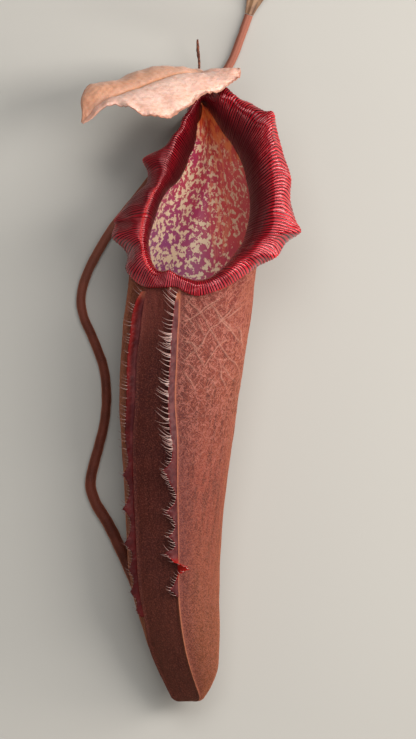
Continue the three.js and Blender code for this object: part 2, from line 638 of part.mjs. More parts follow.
function wingGeometry(rows, side) {
  const [first, last] = [rows[0][0], rows[rows.length - 1][0]];
  const grid = wingHeights(rows).map((y) => {
    const { skin, outward } = wingFoot(y, side);
    const width = along(rows, y, 1);
    const root = skin.clone().addScaledVector(outward, WING_THICKNESS / 2);
    const edge = skin.clone().addScaledVector(outward, 1).addScaledVector(wingDirection(rows, y), width);
    return [root, root.clone().lerp(edge, 0.5), edge];
  });
  const bristles = Array.from({ length: BRISTLES }, (_, k) => {
    const y = first - 3 + ((last - first + 5) * (k + 0.5)) / BRISTLES;
    const { skin, outward } = wingFoot(y, side);
    const out = wingDirection(rows, y);
    const root = skin.clone().addScaledVector(outward, 1).addScaledVector(out, along(rows, y, 1) - 1.2);
    const point = out.clone().add(new THREE.Vector3(-0.35, 0.25 + 0.2 * Math.sin(k * 2.4), 0.1));
    const tip = root.clone().addScaledVector(point.normalize(), BRISTLE_LENGTH);
    return stem([root, tip], [BRISTLE_RADIUS, BRISTLE_RADIUS * 0.35], 3);
  });
  const wing = solid(blade(grid, WING_THICKNESS));
  return meshOf(bristles.reduce((sum, bristle) => sum.add(solid(bristle)), wing));
}

// The tendril, the leaf tip and the spur
function tendrilGeometry() {
  const rows = splineRows(TENDRIL, 72);
  const points = rows.map(([x, y, r]) => new THREE.Vector3(x, y, r * Math.cos(Math.PI / 10)));
  return stem(points, rows.map((r) => r[2]), 10);
}

function leafGeometry() {
  const across = new THREE.Vector3(0.93, -0.37, 0);
  const rings = splineRows(LEAF, 8).map(([x, y, half]) => {
    const fold = (share, z) => new THREE.Vector3(x, y, 2.4 + z).addScaledVector(across, half * share);
    const rise = half * 0.3;
    return [
      fold(-1, rise),
      fold(-0.35, 0.9),
      fold(0, 2.0),
      fold(0.35, 0.9),
      fold(1, rise),
      fold(1, rise - LEAF_THICKNESS),
      fold(0.35, -1.3),
      fold(0, -2.4),
      fold(-0.35, -1.3),
      fold(-1, rise - LEAF_THICKNESS),
    ];
  });
  return loft(rings);
}

function spurGeometry() {
  const turn = radians(SPUR_ANGLE);
  const root = [...besideNeck(turn, 0.88, -SPUR_LIFT), 1];
  const rows = splineRows([root, ...SPUR], 12);
  return stem(rows.map(vec), rows.map((r) => r[3] * SPUR_RADIUS), 8);
}

// Materials
function paint(color, roughness) {
  return new THREE.MeshStandardMaterial({ color, roughness, metalness: 0, flatShading: true });
}

const SKIN = paint(0x9a5a4c, 0.75);
const LIP_RED = paint(0x8c1420, 0.3);
const LID_PINK = paint(0xecbcaa, 0.7);
const WING_RED = paint(0x7a1d1a, 0.55);
const STEM_BROWN = paint(0x8a5144, 0.65);
const LEAF_GREEN = paint(0x8a7a4a, 0.6);
const SPUR_BROWN = paint(0x6a3522, 0.7);

function named(name, geometry, material) {
  const mesh = new THREE.Mesh(geometry, material);
  mesh.name = name;
  return mesh;
}

const pitcher = new THREE.Group();
pitcher.add(
  named("cup", cupGeometry(), SKIN),
  named("lip", lipGeometry(), LIP_RED),
  named("lid", lidGeometry(), LID_PINK),
  named("spur", spurGeometry(), SPUR_BROWN),
  named("wing_left", wingGeometry(LEFT_WING, 0), WING_RED),
  named("wing_right", wingGeometry(RIGHT_WING, 1), WING_RED),
  named("tendril", tendrilGeometry(), STEM_BROWN),
  named("leaf_tip", leafGeometry(), LEAF_GREEN),
);

export default pitcher;
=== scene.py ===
import functools
import math

import bpy
import numpy as np
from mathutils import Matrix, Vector


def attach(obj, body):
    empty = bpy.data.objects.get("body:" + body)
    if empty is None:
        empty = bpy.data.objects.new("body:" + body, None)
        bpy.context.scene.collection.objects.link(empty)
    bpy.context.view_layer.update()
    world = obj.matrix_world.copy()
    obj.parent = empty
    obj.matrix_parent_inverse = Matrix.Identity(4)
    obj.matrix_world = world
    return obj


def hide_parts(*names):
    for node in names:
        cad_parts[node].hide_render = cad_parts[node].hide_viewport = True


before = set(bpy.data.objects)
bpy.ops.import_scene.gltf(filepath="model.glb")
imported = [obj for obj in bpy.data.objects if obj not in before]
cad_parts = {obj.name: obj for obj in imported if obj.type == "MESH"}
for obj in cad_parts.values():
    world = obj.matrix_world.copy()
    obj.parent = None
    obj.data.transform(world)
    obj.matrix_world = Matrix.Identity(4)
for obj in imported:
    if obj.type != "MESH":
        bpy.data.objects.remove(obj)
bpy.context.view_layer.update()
MM = 0.001

# Wall and seams, as in the solid part
CUP_WALL = 1.5
LIP_EDGE = 0.8
LIP_SWELL = 1.3
LIP_SEAT = 0.2
LIP_SINK = 0.4
NECK_GAP = 0.2  # how far the lining ends from the inner edge of the lip at the narrow neck
NECK_START = 84.0
CAVITY_END = -112.0
FACET_FLATNESS = 0.72
KEEL_HEIGHT = 0.9
KEEL_BREADTH = 1.1
LID_THICKNESS = 0.95
WING_THICKNESS = 0.7

# Fine relief of each tissue. The ribs' spacing and bow are (place round the lip, value there).
RIB_STEPS = 6  # columns of each rib
RIB_UNEVENNESS = 0.2  # how far a rib strays to either side, as a share of the spacing
RIB_SPACING = [(0, 1.4), (3, 1.9), (13, 1.9), (16, 1.5), (19, 1.3), (23, 1.3), (38, 1.3), (41, 1.4)]
RIB_BOW = [(0, 0), (3, -0.3), (6, -0.6), (14, -0.5), (18, 0), (23, 0), (27, 0.5), (36, 0.6), (41, 0)]
RIB_HEIGHT = 0.55  # as a share of the spacing
RIB_FLATNESS = 5  # 2 is a parabola, and more has a flatter back and steeper sides
LIP_FOLDS = 0.5  # depth of the broad folds in the lip's outer half
FURROW_DEPTH = 0.45  # of the furrows between the ribs, under the lip's plain face
DEEPEST_FURROW = 0.6
TOOTH_LENGTH = 0.24  # how far a rib stands out as a tooth at the lip's outer edge, as a share of the spacing
TOOTH_ROOT = 0.4  # how far the edge between the teeth is set back
CREASE_HEIGHT = 0.45  # dried creases on the cup's shoulder
CREASE_BREADTH = 0.3
CREASE_WAVER = 0.45  # how far a crease strays from its drawn line
CREASE_FADE = 6.0  # length over which the end of a crease dies away
SKIN_RIPPLE = 0.12
SKIN_SINK = 0.15  # sets the skin back so that its creases stay inside the solid part's size
END_ROUNDING = 2.4  # radius of the edge round the cup's closed end
LID_WRINKLE = 0.16
LOBE_POINT = 1.9  # how sharply the wings' lobes are pointed
RIGHT_FRINGE = {
    "plain_gap": 1.5,
    "lobe_gap": 1.4,
    "plain_length": 7.0,
    "lobe_length": 4.0,
    "radius": 0.4,
    "pale": 0.85,
}
LEFT_FRINGE = {
    "plain_gap": 3.2,
    "lobe_gap": 1.8,
    "plain_length": 4.4,
    "lobe_length": 2.8,
    "radius": 0.32,
    "pale": 0.45,
}

# The tube of the cup, from the mouth down: [Y, left X, right X, top Z, bottom Z, left rib X, right rib X]
TUBE = np.array([
    [96, -31.3, 46.6, 71.6, 3.6, -19.0, 2.0],
    [84, -32.2, 44.0, 71.0, 2.6, -20.8, 0.8],
    [66, -33.3, 41.1, 70.5, 1.4, -23.2, 0.0],
    [42, -34.2, 37.5, 68.5, 0.2, -24.0, -0.9],
    [18, -33.0, 34.2, 66.0, -0.6, -25.5, 0.5],
    [-6, -31.5, 30.9, 63.0, -0.8, -25.2, 0.5],
    [-30, -30.3, 28.2, 60.0, -0.5, -24.2, 0.8],
    [-54, -29.1, 26.7, 56.5, 1.0, -23.2, 1.2],
    [-72, -26.7, 26.1, 53.5, 3.5, -21.8, 1.2],
    [-90, -21.9, 26.4, 50.0, 6.5, -18.4, 2.7],
    [-108, -15.9, 26.1, 45.0, 9.5, -15.0, 5.6],
    [-120, -10.5, 25.2, 40.0, 11.5, -10.2, 8.7],
    [-129, -6.1, 21.9, 34.5, 13.0, -5.9, 11.4],
    [-135, -3.1, 18.3, 30.0, 14.5, -3.0, 13.2],
    [-139.4, -0.9, 15.4, 25.5, 16.5, -0.8, 13.8],
])

# The lip, clockwise from the neck: inner edge, crest, outer edge, and the angle round the tube, from +Z
# towards +X, of the strip of wall that ends there
LIP = np.array([
    [15.0, 220.8, 28.0, 16.2, 223.8, 35.0, 18.0, 228.0, 31.0, 175],
    [18.5, 217.0, 30.0, 21.6, 223.8, 40.0, 23.4, 229.8, 35.0, 147],
    [23.4, 209.7, 33.0, 27.3, 223.2, 49.0, 28.6, 231.0, 44.0, 122],
    [28.1, 202.3, 37.0, 34.8, 217.8, 55.0, 37.2, 223.5, 50.0, 103],
    [32.7, 196.4, 40.0, 41.1, 213.6, 60.0, 44.4, 220.2, 53.0, 88],
    [36.0, 190.8, 43.0, 47.4, 208.8, 65.0, 52.8, 215.4, 60.0, 79],
    [38.4, 186.0, 45.0, 52.2, 204.0, 69.0, 58.5, 214.2, 64.0, 72],
    [40.5, 180.6, 47.0, 54.6, 194.4, 71.0, 60.6, 204.0, 62.0, 67],
    [42.2, 172.8, 50.0, 57.0, 182.4, 73.0, 64.8, 188.4, 63.0, 62],
    [43.8, 163.8, 53.5, 59.4, 171.6, 75.0, 69.0, 175.2, 68.0, 58],
    [44.2, 156.0, 56.5, 59.4, 160.8, 76.0, 68.7, 162.0, 64.0, 55],
    [43.2, 148.8, 59.0, 59.4, 151.2, 78.0, 72.0, 149.4, 67.0, 51.5],
    [41.7, 142.2, 61.5, 57.6, 143.7, 80.0, 74.8, 142.2, 73.0, 48],
    [39.2, 135.6, 64.0, 52.8, 137.7, 79.0, 66.0, 135.9, 62.0, 44.5],
    [36.2, 131.2, 66.0, 48.0, 131.7, 82.0, 60.4, 127.4, 76.0, 40],
    [31.8, 125.7, 68.5, 40.8, 125.7, 79.0, 49.7, 122.1, 68.5, 34.5],
    [27.3, 121.2, 70.5, 33.6, 120.3, 80.0, 40.2, 115.5, 73.0, 28],
    [23.3, 117.7, 72.0, 27.0, 115.5, 79.5, 31.8, 110.1, 74.0, 21],
    [17.3, 114.7, 73.0, 19.2, 111.9, 78.5, 21.6, 105.9, 75.5, 12.5],
    [12.4, 114.0, 73.5, 12.6, 110.7, 78.5, 12.6, 104.0, 76.0, 5],
    [7.2, 115.2, 73.5, 6.6, 112.2, 78.5, 5.1, 106.2, 76.0, -3],
    [1.2, 117.6, 73.5, 0.6, 115.2, 79.5, 0.0, 109.2, 75.5, -11],
    [-3.6, 120.0, 72.5, -4.2, 118.2, 81.0, -6.0, 108.9, 75.8, -20],
    [-7.8, 119.7, 71.0, -8.4, 117.3, 77.0, -12.0, 108.9, 72.8, -29],
    [-10.8, 120.3, 69.0, -12.6, 117.3, 74.5, -17.4, 109.2, 68.5, -39],
    [-13.5, 123.6, 66.0, -17.1, 121.2, 73.0, -23.4, 111.6, 63.0, -50],
    [-15.0, 127.8, 63.0, -19.8, 127.5, 72.0, -30.3, 120.0, 60.0, -57],
    [-16.0, 135.0, 60.0, -21.3, 135.0, 70.0, -29.7, 129.6, 52.0, -62],
    [-15.3, 141.0, 57.0, -21.9, 141.9, 68.0, -38.5, 139.2, 58.0, -66],
    [-13.8, 145.8, 54.0, -21.0, 147.9, 66.0, -36.9, 146.4, 52.0, -69.5],
    [-12.3, 150.6, 51.0, -20.1, 152.4, 64.0, -37.3, 150.0, 55.0, -73],
    [-10.2, 157.2, 47.0, -17.7, 159.3, 60.0, -30.6, 158.4, 48.0, -77],
    [-7.2, 163.8, 43.0, -14.1, 166.8, 56.0, -23.4, 166.8, 45.0, -82],
    [-3.6, 168.6, 38.0, -10.2, 173.1, 52.0, -18.0, 172.2, 42.0, -88],
    [0.0, 171.6, 34.0, -7.8, 179.4, 49.0, -17.4, 178.8, 40.0, -94],
    [3.2, 175.8, 31.0, -6.6, 186.0, 48.0, -20.4, 186.0, 44.0, -101],
    [6.0, 181.2, 29.0, -4.2, 190.8, 47.0, -15.0, 190.2, 43.0, -109],
    [9.0, 187.8, 27.5, -1.5, 196.5, 45.5, -7.2, 193.8, 40.0, -119],
    [12.0, 194.4, 26.5, 3.3, 204.9, 43.0, -0.6, 202.2, 37.0, -132],
    [13.8, 204.0, 26.0, 8.4, 214.8, 40.0, 5.1, 211.2, 34.0, -148],
    [15.0, 213.6, 26.5, 12.3, 221.4, 37.0, 8.2, 220.8, 31.4, -167],
])

# The lid, from its notched base to its curled tip: far edge, midrib, near edge
LID = np.array([
    [15.8, 227.7, 29.4, 18.0, 228.8, 30.3, 20.2, 229.5, 32.0],
    [15.6, 240.0, 22.0, 16.8, 235.2, 33.0, 36.0, 240.9, 40.0],
    [8.4, 240.6, 20.0, 12.6, 236.4, 38.5, 38.1, 235.8, 46.0],
    [-2.4, 241.2, 24.0, 6.6, 237.3, 45.5, 27.6, 228.0, 58.0],
    [-14.4, 241.5, 27.0, -3.6, 235.5, 54.0, 14.4, 222.9, 68.0],
    [-26.4, 238.2, 37.0, -15.6, 231.0, 63.0, 3.0, 213.9, 81.0],
    [-37.2, 232.8, 47.0, -24.6, 227.4, 68.5, -9.0, 210.3, 89.0],
    [-46.2, 232.2, 56.0, -33.6, 223.8, 74.0, -22.2, 213.6, 90.0],
    [-53.4, 229.2, 66.0, -41.4, 220.2, 77.5, -33.0, 218.1, 86.0],
    [-56.7, 221.4, 73.0, -47.4, 216.0, 79.0, -43.8, 216.0, 84.0],
    [-56.1, 214.2, 77.0, -52.2, 211.2, 78.0, -49.8, 210.0, 80.0],
    [-56.3, 208.0, 75.4, -55.8, 207.6, 76.0, -55.2, 207.2, 76.8],
])

# Where the foot of the cup turns under and narrows into the tendril: [X, Y, Z, radius]
FOOT = np.array([
    [7.2, -120.0, 26.0, 8.0],
    [7.4, -127.0, 21.5, 8.2],
    [6.8, -131.2, 15.0, 7.2],
    [3.8, -131.4, 9.2, 6.0],
    [-0.6, -126.8, 6.0, 5.2],
    [-4.6, -118.8, 4.9, 4.8],
])

# The tendril, from the foot, along the table, under the mouth and on to the leaf: [X, Y, radius]
TENDRIL = np.array([
    [-5.0, -118.0, 4.7],
    [-10.8, -102.6, 4.3],
    [-17.4, -84.0, 4.0],
    [-25.8, -64.8, 3.8],
    [-33.9, -46.8, 3.7],
    [-41.4, -31.8, 3.6],
    [-48.0, -21.0, 3.4],
    [-51.6, -10.2, 3.3],
    [-50.4, 0.0, 3.2],
    [-46.8, 13.2, 3.1],
    [-43.2, 28.8, 3.0],
    [-42.0, 44.4, 3.0],
    [-43.8, 61.8, 2.9],
    [-50.4, 79.8, 2.9],
    [-55.8, 92.4, 2.9],
    [-57.3, 103.2, 2.9],
    [-54.6, 115.8, 2.9],
    [-48.0, 129.6, 2.9],
    [-37.8, 146.4, 2.8],
    [-24.6, 162.6, 2.8],
    [-9.6, 182.4, 2.7],
    [5.4, 204.6, 2.6],
    [18.6, 224.4, 2.5],
    [28.2, 237.6, 2.5],
    [34.5, 248.4, 2.5],
    [39.9, 262.8, 2.5],
    [43.8, 274.0, 2.6],
])

# The cut tip of the leaf that the tendril grows from: [X, Y, half width]
LEAF = np.array([
    [43.9, 274.4, 2.6],
    [45.6, 279.0, 3.6],
    [47.6, 284.5, 5.2],
    [49.8, 290.0, 7.0],
    [52.0, 295.5, 9.0],
])
LEAF_THICKNESS = 0.9

# The thin spur behind the lid, after its root on the back of the neck: [X, Y, Z, share of its radius]
SPUR = np.array([
    [13.6, 226.0, 17.2, 0.8],
    [13.9, 244.0, 14.5, 0.8],
    [13.2, 252.0, 16.0, 1.1],
    [12.9, 258.8, 18.0, 0.6],
])
SPUR_RADIUS = 0.9
SPUR_TURN = 176
SPUR_LIFT = 0.3

# The wings: [Y, width, lean from upright in degrees, where minus is to the left]
LEFT_WING = np.array([
    [107, 2.4, -58],
    [101, 4.6, -62],
    [90, 5.6, -66],
    [70, 5.0, -70],
    [50, 4.6, -72],
    [30, 4.4, -72],
    [14, 3.0, -72],
    [5, 1.8, -72],
    [-2.8, 5.6, -72],
    [-12, 1.4, -70],
    [-23.3, 6.4, -72],
    [-32, 1.4, -70],
    [-44.4, 6.4, -74],
    [-51, 1.4, -70],
    [-60, 4.4, -76],
    [-66, 1.4, -72],
    [-73, 4.4, -78],
    [-79, 1.4, -74],
    [-84, 2.8, -78],
    [-88, 1.2, -78],
])
RIGHT_WING = np.array([
    [106, 1.6, -34],
    [99, 3.2, -40],
    [88, 4.2, -46],
    [66, 4.4, -52],
    [44, 4.6, -55],
    [26, 4.8, -56],
    [14, 3.8, -50],
    [6, 4.6, -52],
    [0, 9.8, -62],
    [-8, 6.0, -50],
    [-16, 1.6, -20],
    [-25, 8.4, -60],
    [-33, 2.2, -40],
    [-40, 7.0, -56],
    [-45, 2.4, -36],
    [-49.7, 9.6, -62],
    [-54, 6.0, -40],
    [-58.8, 8.6, 52],
    [-64.5, 2.2, -20],
    [-72, 6.0, -62],
    [-76, 1.4, -50],
])
LOBES_START = 12

# Creases on the shoulder, each a run of points [X, Y] as they are seen from above
CREASES = [
    [(5.7, 102.2), (14.3, 94.3), (19.2, 86.9), (23.5, 79.6), (28.4, 71.6), (33.9, 65.5), (39.4, 58.2)],
    [(2.3, 88.2), (13.7, 93.7), (21.6, 99.2), (30.8, 104.7)],
    [(3.3, 64.9), (15.5, 75.9), (22.2, 85.7), (30.8, 91.2), (41.8, 99.8)],
    [(8.8, 77.1), (14.3, 66.1), (18.6, 60.0)],
    [(10.6, 91.2), (15.5, 83.3), (19.2, 77.1)],
    [(21.6, 98.6), (26.5, 90.6), (33.9, 82.0), (41.4, 73.5)],
    [(17.9, 102.2), (24.1, 95.5), (29.6, 88.2), (36.3, 82.7)],
    [(25.3, 64.9), (32.6, 56.3), (36.3, 52.0)],
    [(26.5, 63.1), (27.1, 55.1), (30.2, 47.8)],
    [(35.7, 99.8), (30.8, 93.7), (23.5, 85.7)],
    [(4.5, 65.5), (9.4, 62.5), (12.4, 58.8)],
    [(2.6, 77.4), (9.4, 76.5), (14.9, 69.8)],
    [(3.0, 95.0), (8.0, 91.0), (11.5, 84.0)],
    [(2.8, 60.5), (8.5, 54.0), (12.0, 46.0)],
    [(12.4, 108.0), (7.6, 100.5), (3.8, 97.0)],
    [(36.3, 90.0), (38.8, 80.8), (40.6, 70.4)],
    [(15.5, 58.2), (19.5, 66.0), (24.4, 72.8), (31.0, 79.0)],
]


# Curves through rows of numbers
def cubic(a, b, slope_a, slope_b, t):
    """Point at share t of the curve from a to b, with a slope at each end."""
    t2 = t * t
    t3 = t2 * t
    near_a = a * (2 * t3 - 3 * t2 + 1) + slope_a * (t3 - 2 * t2 + t)
    return near_a + b * (3 * t2 - 2 * t3) + slope_b * (t3 - t2)


def along(rows, x, column):
    """Value of one column at key x, for rows whose first number falls steadily."""
    x = np.asarray(x, float)
    keys = rows[:, 0]
    last = len(rows) - 1
    i = np.clip(np.searchsorted(-keys, -x) - 1, 0, last - 1)
    before = np.maximum(i - 1, 0)
    after = np.minimum(i + 2, last)
    values = rows[:, column]
    slope_a = (values[i + 1] - values[before]) / (keys[i + 1] - keys[before])
    slope_b = (values[after] - values[i]) / (keys[after] - keys[i])
    span = keys[i + 1] - keys[i]
    return cubic(values[i], values[i + 1], slope_a * span, slope_b * span, (x - keys[i]) / span)


def spline(rows, place, closed=False):
    """Row at each place of an even run of rows, open or closed on itself."""
    place = np.asarray(place, float)
    count = len(rows)
    i = np.floor(place).astype(int)
    if not closed:
        i = np.clip(i, 0, count - 2)

    def row(k):
        return rows[k % count] if closed else rows[np.clip(k, 0, count - 1)]

    a = row(i)
    b = row(i + 1)
    return cubic(a, b, (b - row(i - 1)) / 2, (row(i + 2) - a) / 2, (place - i)[..., None])


def spline_rows(rows, steps):
    return spline(rows, np.linspace(0, len(rows) - 1, steps + 1))


def points_of(*columns):
    return np.stack(np.broadcast_arrays(*columns), -1)


def unit(vectors):
    return vectors / np.linalg.norm(vectors, axis=-1, keepdims=True)


def smooth_share(low, high, x):
    """How far x is on its way from low to high, from 0 to 1, with a soft start and end."""
    t = np.clip((x - low) / (high - low), 0, 1)
    return t * t * (3 - 2 * t)


def bump_at(x, middle, breadth):
    return np.exp(-(((x - middle) / breadth) ** 2))


NOISE_WAVES = 14


def soft_noise(points, size, seed):
    """Smooth noise, mostly from -1 to 1, of lumps about size mm across, from waves of seeded directions."""
    chance = np.random.default_rng(seed)
    total = np.zeros(points.shape[:-1])
    for _ in range(NOISE_WAVES):
        direction = unit(chance.normal(size=3)) * chance.uniform(0.7, 1.5)
        total += np.sin(points @ direction * (2 * math.pi / (2.2 * size)) + chance.uniform(0, 2 * math.pi))
    return total / 4


# The cup
RIB_LIMIT = 0.985  # how far to the side a front rib may lie, as a share of the tube's half width


def rib_turns(y):
    """Angles round the tube of the two front ribs at height y."""
    left, right, rib_left, rib_right = (along(TUBE, y, c) for c in (1, 2, 5, 6))
    middle = (left + right) / 2
    half = (right - left) / 2
    return [np.arcsin(np.clip((x - middle) / half, -RIB_LIMIT, RIB_LIMIT)) for x in (rib_left, rib_right)]


def tube_point(y, turn, inset=0.0, lift=0.0):
    """Point of the tube's skin at height y and angle turn, drawn in by inset or raised by lift."""
    left, right, top, bottom = (along(TUBE, y, c) for c in (1, 2, 3, 4))
    wide = (right - left) / 2 - inset
    deep = (top - bottom) / 2 - inset
    first, last = rib_turns(y)
    share = (turn - first) / (last - first)
    flat = np.where((share > 0) & (share < 1), FACET_FLATNESS, 0)
    chord_x = wide * (np.sin(first) + (np.sin(last) - np.sin(first)) * share)
    chord_z = deep * (np.cos(first) + (np.cos(last) - np.cos(first)) * share)
    x = wide * np.sin(turn) * (1 - flat) + chord_x * flat
    z = deep * np.cos(turn) * (1 - flat) + chord_z * flat
    raised = 1 + lift / np.hypot(x, z)
    return points_of(x * raised + (left + right) / 2, y, np.maximum(z * raised + (top + bottom) / 2, inset))


# The narrow neck: its angle round the tube, and the cosines of the angles from it up to which it is whole,
# the wall's end is drawn under the lip's inner edge, and the wall is bent to a gutter
NECK_ANGLE = LIP[0, 9]
WHOLE_NECK = 0.95
NECK_REACH = 0.7
GUTTER_REACH = -0.3
GUTTER_BREADTH = 0.42  # sine of the angle from the neck's middle to either side of the gutter
MOST_BEND = 0.62  # the most that the wall's top turns to the lip's facing, from 0 to 1


def near_neck(turn, reach):
    """How near an angle is to the mouth's narrow neck: 1 there, 0 from the angle whose cosine is reach."""
    return smooth_share(reach, WHOLE_NECK, np.cos(turn - math.radians(NECK_ANGLE)))


def neck_point(turn, t, lift=0.0):
    """Point of the wall from the tube, t 0, up into the lip, t 1.

    It leaves the tube along the tube's slope and meets the lip from behind. At the narrow neck it climbs on
    as a gutter and ends under the lip's inner edge.
    """
    start = tube_point(NECK_START, turn, 0, lift)
    slope = (tube_point(NECK_START, turn) - tube_point(NECK_START - 6, turn)) / 6
    place = lip_place(turn)
    side = np.clip(np.sin(math.radians(NECK_ANGLE) - turn) / GUTTER_BREADTH, -1, 1)
    under = unit(points_of(0.7 * side, 0.35, -0.8)) * (NECK_GAP + CUP_WALL)
    at_neck = near_neck(turn, NECK_REACH)[..., None]
    end = lip_back(place, LIP_SEAT, -LIP_SINK) * (1 - at_neck) + (lip_point(place, 0) + under) * at_neck
    gutter = near_neck(turn, GUTTER_REACH)[..., None]
    facing = lip_normal(place, LIP_SEAT)
    bend = np.clip(MOST_BEND + 0.75 * facing[..., 1:2], 0, MOST_BEND) * (1 - gutter)
    straight = np.array([0, 1, 0.5])
    climbing = points_of(0.12 * side - 0.25, 0.6, 0.75)
    rise = (straight * (1 - gutter) + climbing * gutter) * (1 - bend) + facing * bend
    reach = np.linalg.norm(end - start, axis=-1, keepdims=True)
    return cubic(start, end, slope * reach, rise * reach, np.asarray(t)[..., None])


def beside_neck(turn, t, inset):
    """Point at a depth of inset under the wall from the tube up into the lip."""
    step = math.radians(2)
    around = neck_point(turn + step, t) - neck_point(turn - step, t)
    up = neck_point(turn, t + 0.02) - neck_point(turn, t - 0.02)
    return neck_point(turn, t) - unit(np.cross(around, up)) * inset


def lining_point(turn, t):
    """Point of the neck's inner skin, which turns as it nears the lip to end behind the lip's face."""
    place = lip_place(turn)
    breadth = np.linalg.norm(lip_point(place, LIP_SEAT) - lip_point(place, 0), axis=-1) / LIP_SEAT
    seat = lip_back(place, np.maximum(LIP_SEAT - CUP_WALL / breadth, 0.06), -LIP_SINK)
    share = smooth_share(0.75, 1, t) * (1 - near_neck(turn, NECK_REACH))
    shift = seat - beside_neck(turn, 1 + 0 * t, CUP_WALL)
    return beside_neck(turn, t, CUP_WALL) + shift * share[..., None]


SIDE_END = 92  # angle at which the right side's close columns end and the back's wider ones start


def column_turns(facet, right, back, y):
    """Angles of the columns at height y: across the front facet, down the right side, round the back."""
    first, last = (np.asarray(turns)[..., None] for turns in rib_turns(y))
    under = math.radians(SIDE_END)
    return np.concatenate([
        first + (last - first) * np.arange(facet) / facet,
        last + (under - last) * np.arange(right) / right,
        under + (first + 2 * math.pi - under) * np.arange(back) / back,
    ], axis=-1)


# The lip
def lip_place(turn):
    """Place round the lip at which the strip of wall at an angle ends."""
    falls = np.append(NECK_ANGLE - LIP[:, 9], 360)
    wanted = np.mod(NECK_ANGLE - np.degrees(turn), 360)
    return np.interp(wanted, falls, np.arange(len(falls)))


def lip_point(place, across):
    """Point on the lip's face: across is 0 at the inner edge, 0.5 at the crest and 1 at the outer edge."""
    place, across = np.broadcast_arrays(np.asarray(place, float), np.asarray(across, float))
    row = spline(LIP[:, :9], place, closed=True)
    inner, crest, outer = row[..., 0:3], row[..., 3:6], row[..., 6:9]
    level = (outer - inner) * 0.55 * np.array([1, 1, 0.25])
    rise = (crest - inner) * np.array([0.5, 0.5, 1.5])
    fall = (outer - crest) * np.array([0.6, 0.6, 1.5])
    t = across[..., None]
    return np.where(
        t <= 0.5,
        cubic(inner, crest, rise, level, t * 2),
        cubic(crest, outer, level, fall, t * 2 - 1),
    )


def lip_normal(place, across):
    """The way the lip's face looks."""
    step = 0.02
    around = lip_point(place + step * 5, across) - lip_point(place - step * 5, across)
    lower = np.maximum(np.asarray(across) - step, 0)
    upper = np.minimum(np.asarray(across) + step, 1)
    over = lip_point(place, upper) - lip_point(place, lower)
    return unit(np.cross(around, over))


def lip_back(place, across, gap=0.0):
    """Point on the lip's back, or gap mm behind it."""
    breadth = np.linalg.norm(lip_point(place, 0.25) - lip_point(place, 0.8), axis=-1)
    swell = LIP_SWELL * np.clip((breadth - 4) / 7, 0, 1)
    depth = LIP_EDGE + swell * np.sin(math.pi * np.asarray(across)) ** 2
    return lip_point(place, across) - lip_normal(place, across) * (depth + gap)[..., None]


# Meshes
def make_piece(name, points, faces, material, node, masks=None):
    """Makes a smooth piece from points in mm, with a float attribute for each mask, in place of a node."""
    mesh = bpy.data.meshes.new(name)
    mesh.from_pydata((points * MM).tolist(), [], faces)
    mesh.shade_smooth()
    for mask, values in (masks or {}).items():
        attribute = mesh.attributes.new(mask, "FLOAT", "POINT")
        attribute.data.foreach_set("value", np.ascontiguousarray(values, dtype=np.float32).ravel())
    mesh.materials.append(material)
    mesh.validate()
    piece = bpy.data.objects.new(name, mesh)
    bpy.context.scene.collection.objects.link(piece)
    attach(piece, "root")
    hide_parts(node)


def grid_faces(rows, columns, wrap_rows=False, wrap_columns=True, start=0):
    """Quads of a grid of points; either way round may close on itself."""
    i = np.arange(rows if wrap_rows else rows - 1)[:, None]
    j = np.arange(columns if wrap_columns else columns - 1)[None, :]
    below = (i + 1) % rows
    beside = (j + 1) % columns
    a, b, c, d = i * columns + j, i * columns + beside, below * columns + beside, below * columns + j
    return (np.stack([a, b, c, d], -1).reshape(-1, 4) + start).tolist()


def tube_rings(points, radii, sides):
    """Rings of points round a line of points."""
    tangents = unit(np.gradient(points, axis=0))
    side = np.array([0.0, 0.0, 1.0])
    rings = []
    turn = (np.arange(sides) + 0.5) / sides * 2 * math.pi
    for point, tangent, radius in zip(points, tangents, radii):
        side = unit(side - tangent * (side @ tangent))
        other = np.cross(tangent, side)
        rings.append(point + radius * (np.cos(turn)[:, None] * side + np.sin(turn)[:, None] * other))
    return np.array(rings)


def swollen(rings, share):
    """Rings whose points stand further from their middles by a share of the way."""
    middle = rings.mean(axis=1, keepdims=True)
    return middle + (rings - middle) * (1 + share)[..., None]


def above_table(points):
    """The points, with those below the table pressed flat on it."""
    return np.maximum(points, (-np.inf, -np.inf, 0))


def with_caps(values, shape, low=0.0, high=0.0):
    """A mask's values on rows of points and on the points that cap their two ends."""
    return np.append(np.broadcast_to(values, shape), [low, high])


def capped(rings, start=0):
    """Points and faces of a run of rings that narrows to a point at both ends."""
    rows, columns = rings.shape[:2]
    points = np.concatenate([rings.reshape(-1, 3), rings[:1].mean(1), rings[-1:].mean(1)])
    faces = grid_faces(rows, columns, start=start)
    low, high = start + rows * columns, start + rows * columns + 1
    for j in range(columns):
        k = (j + 1) % columns
        faces.append([low, start + k, start + j])
        faces.append([high, start + (rows - 1) * columns + j, start + (rows - 1) * columns + k])
    return points, faces


def blade_mesh(grid, thickness):
    """Points and faces of a grid of points thickened to both sides, with its edges rounded."""
    rows, columns = grid.shape[:2]
    down = np.gradient(grid, axis=0)
    across = np.gradient(grid, axis=1)
    half = unit(np.cross(down, across)) * (np.asarray(thickness) / 2)[..., None]
    points = np.concatenate([(grid + half).reshape(-1, 3), (grid - half).reshape(-1, 3)])
    under = rows * columns
    top = np.array(grid_faces(rows, columns, wrap_columns=False))
    faces = top[:, ::-1].tolist() + (top + under).tolist()
    border = list(range(columns))
    border += [i * columns + columns - 1 for i in range(1, rows)]
    border += [(rows - 1) * columns + j for j in range(columns - 2, -1, -1)]
    border += [i * columns for i in range(rows - 2, 0, -1)]
    for a, b in zip(border, border[1:] + border[:1]):
        faces.append([a, b, b + under, a + under])
    return points, faces


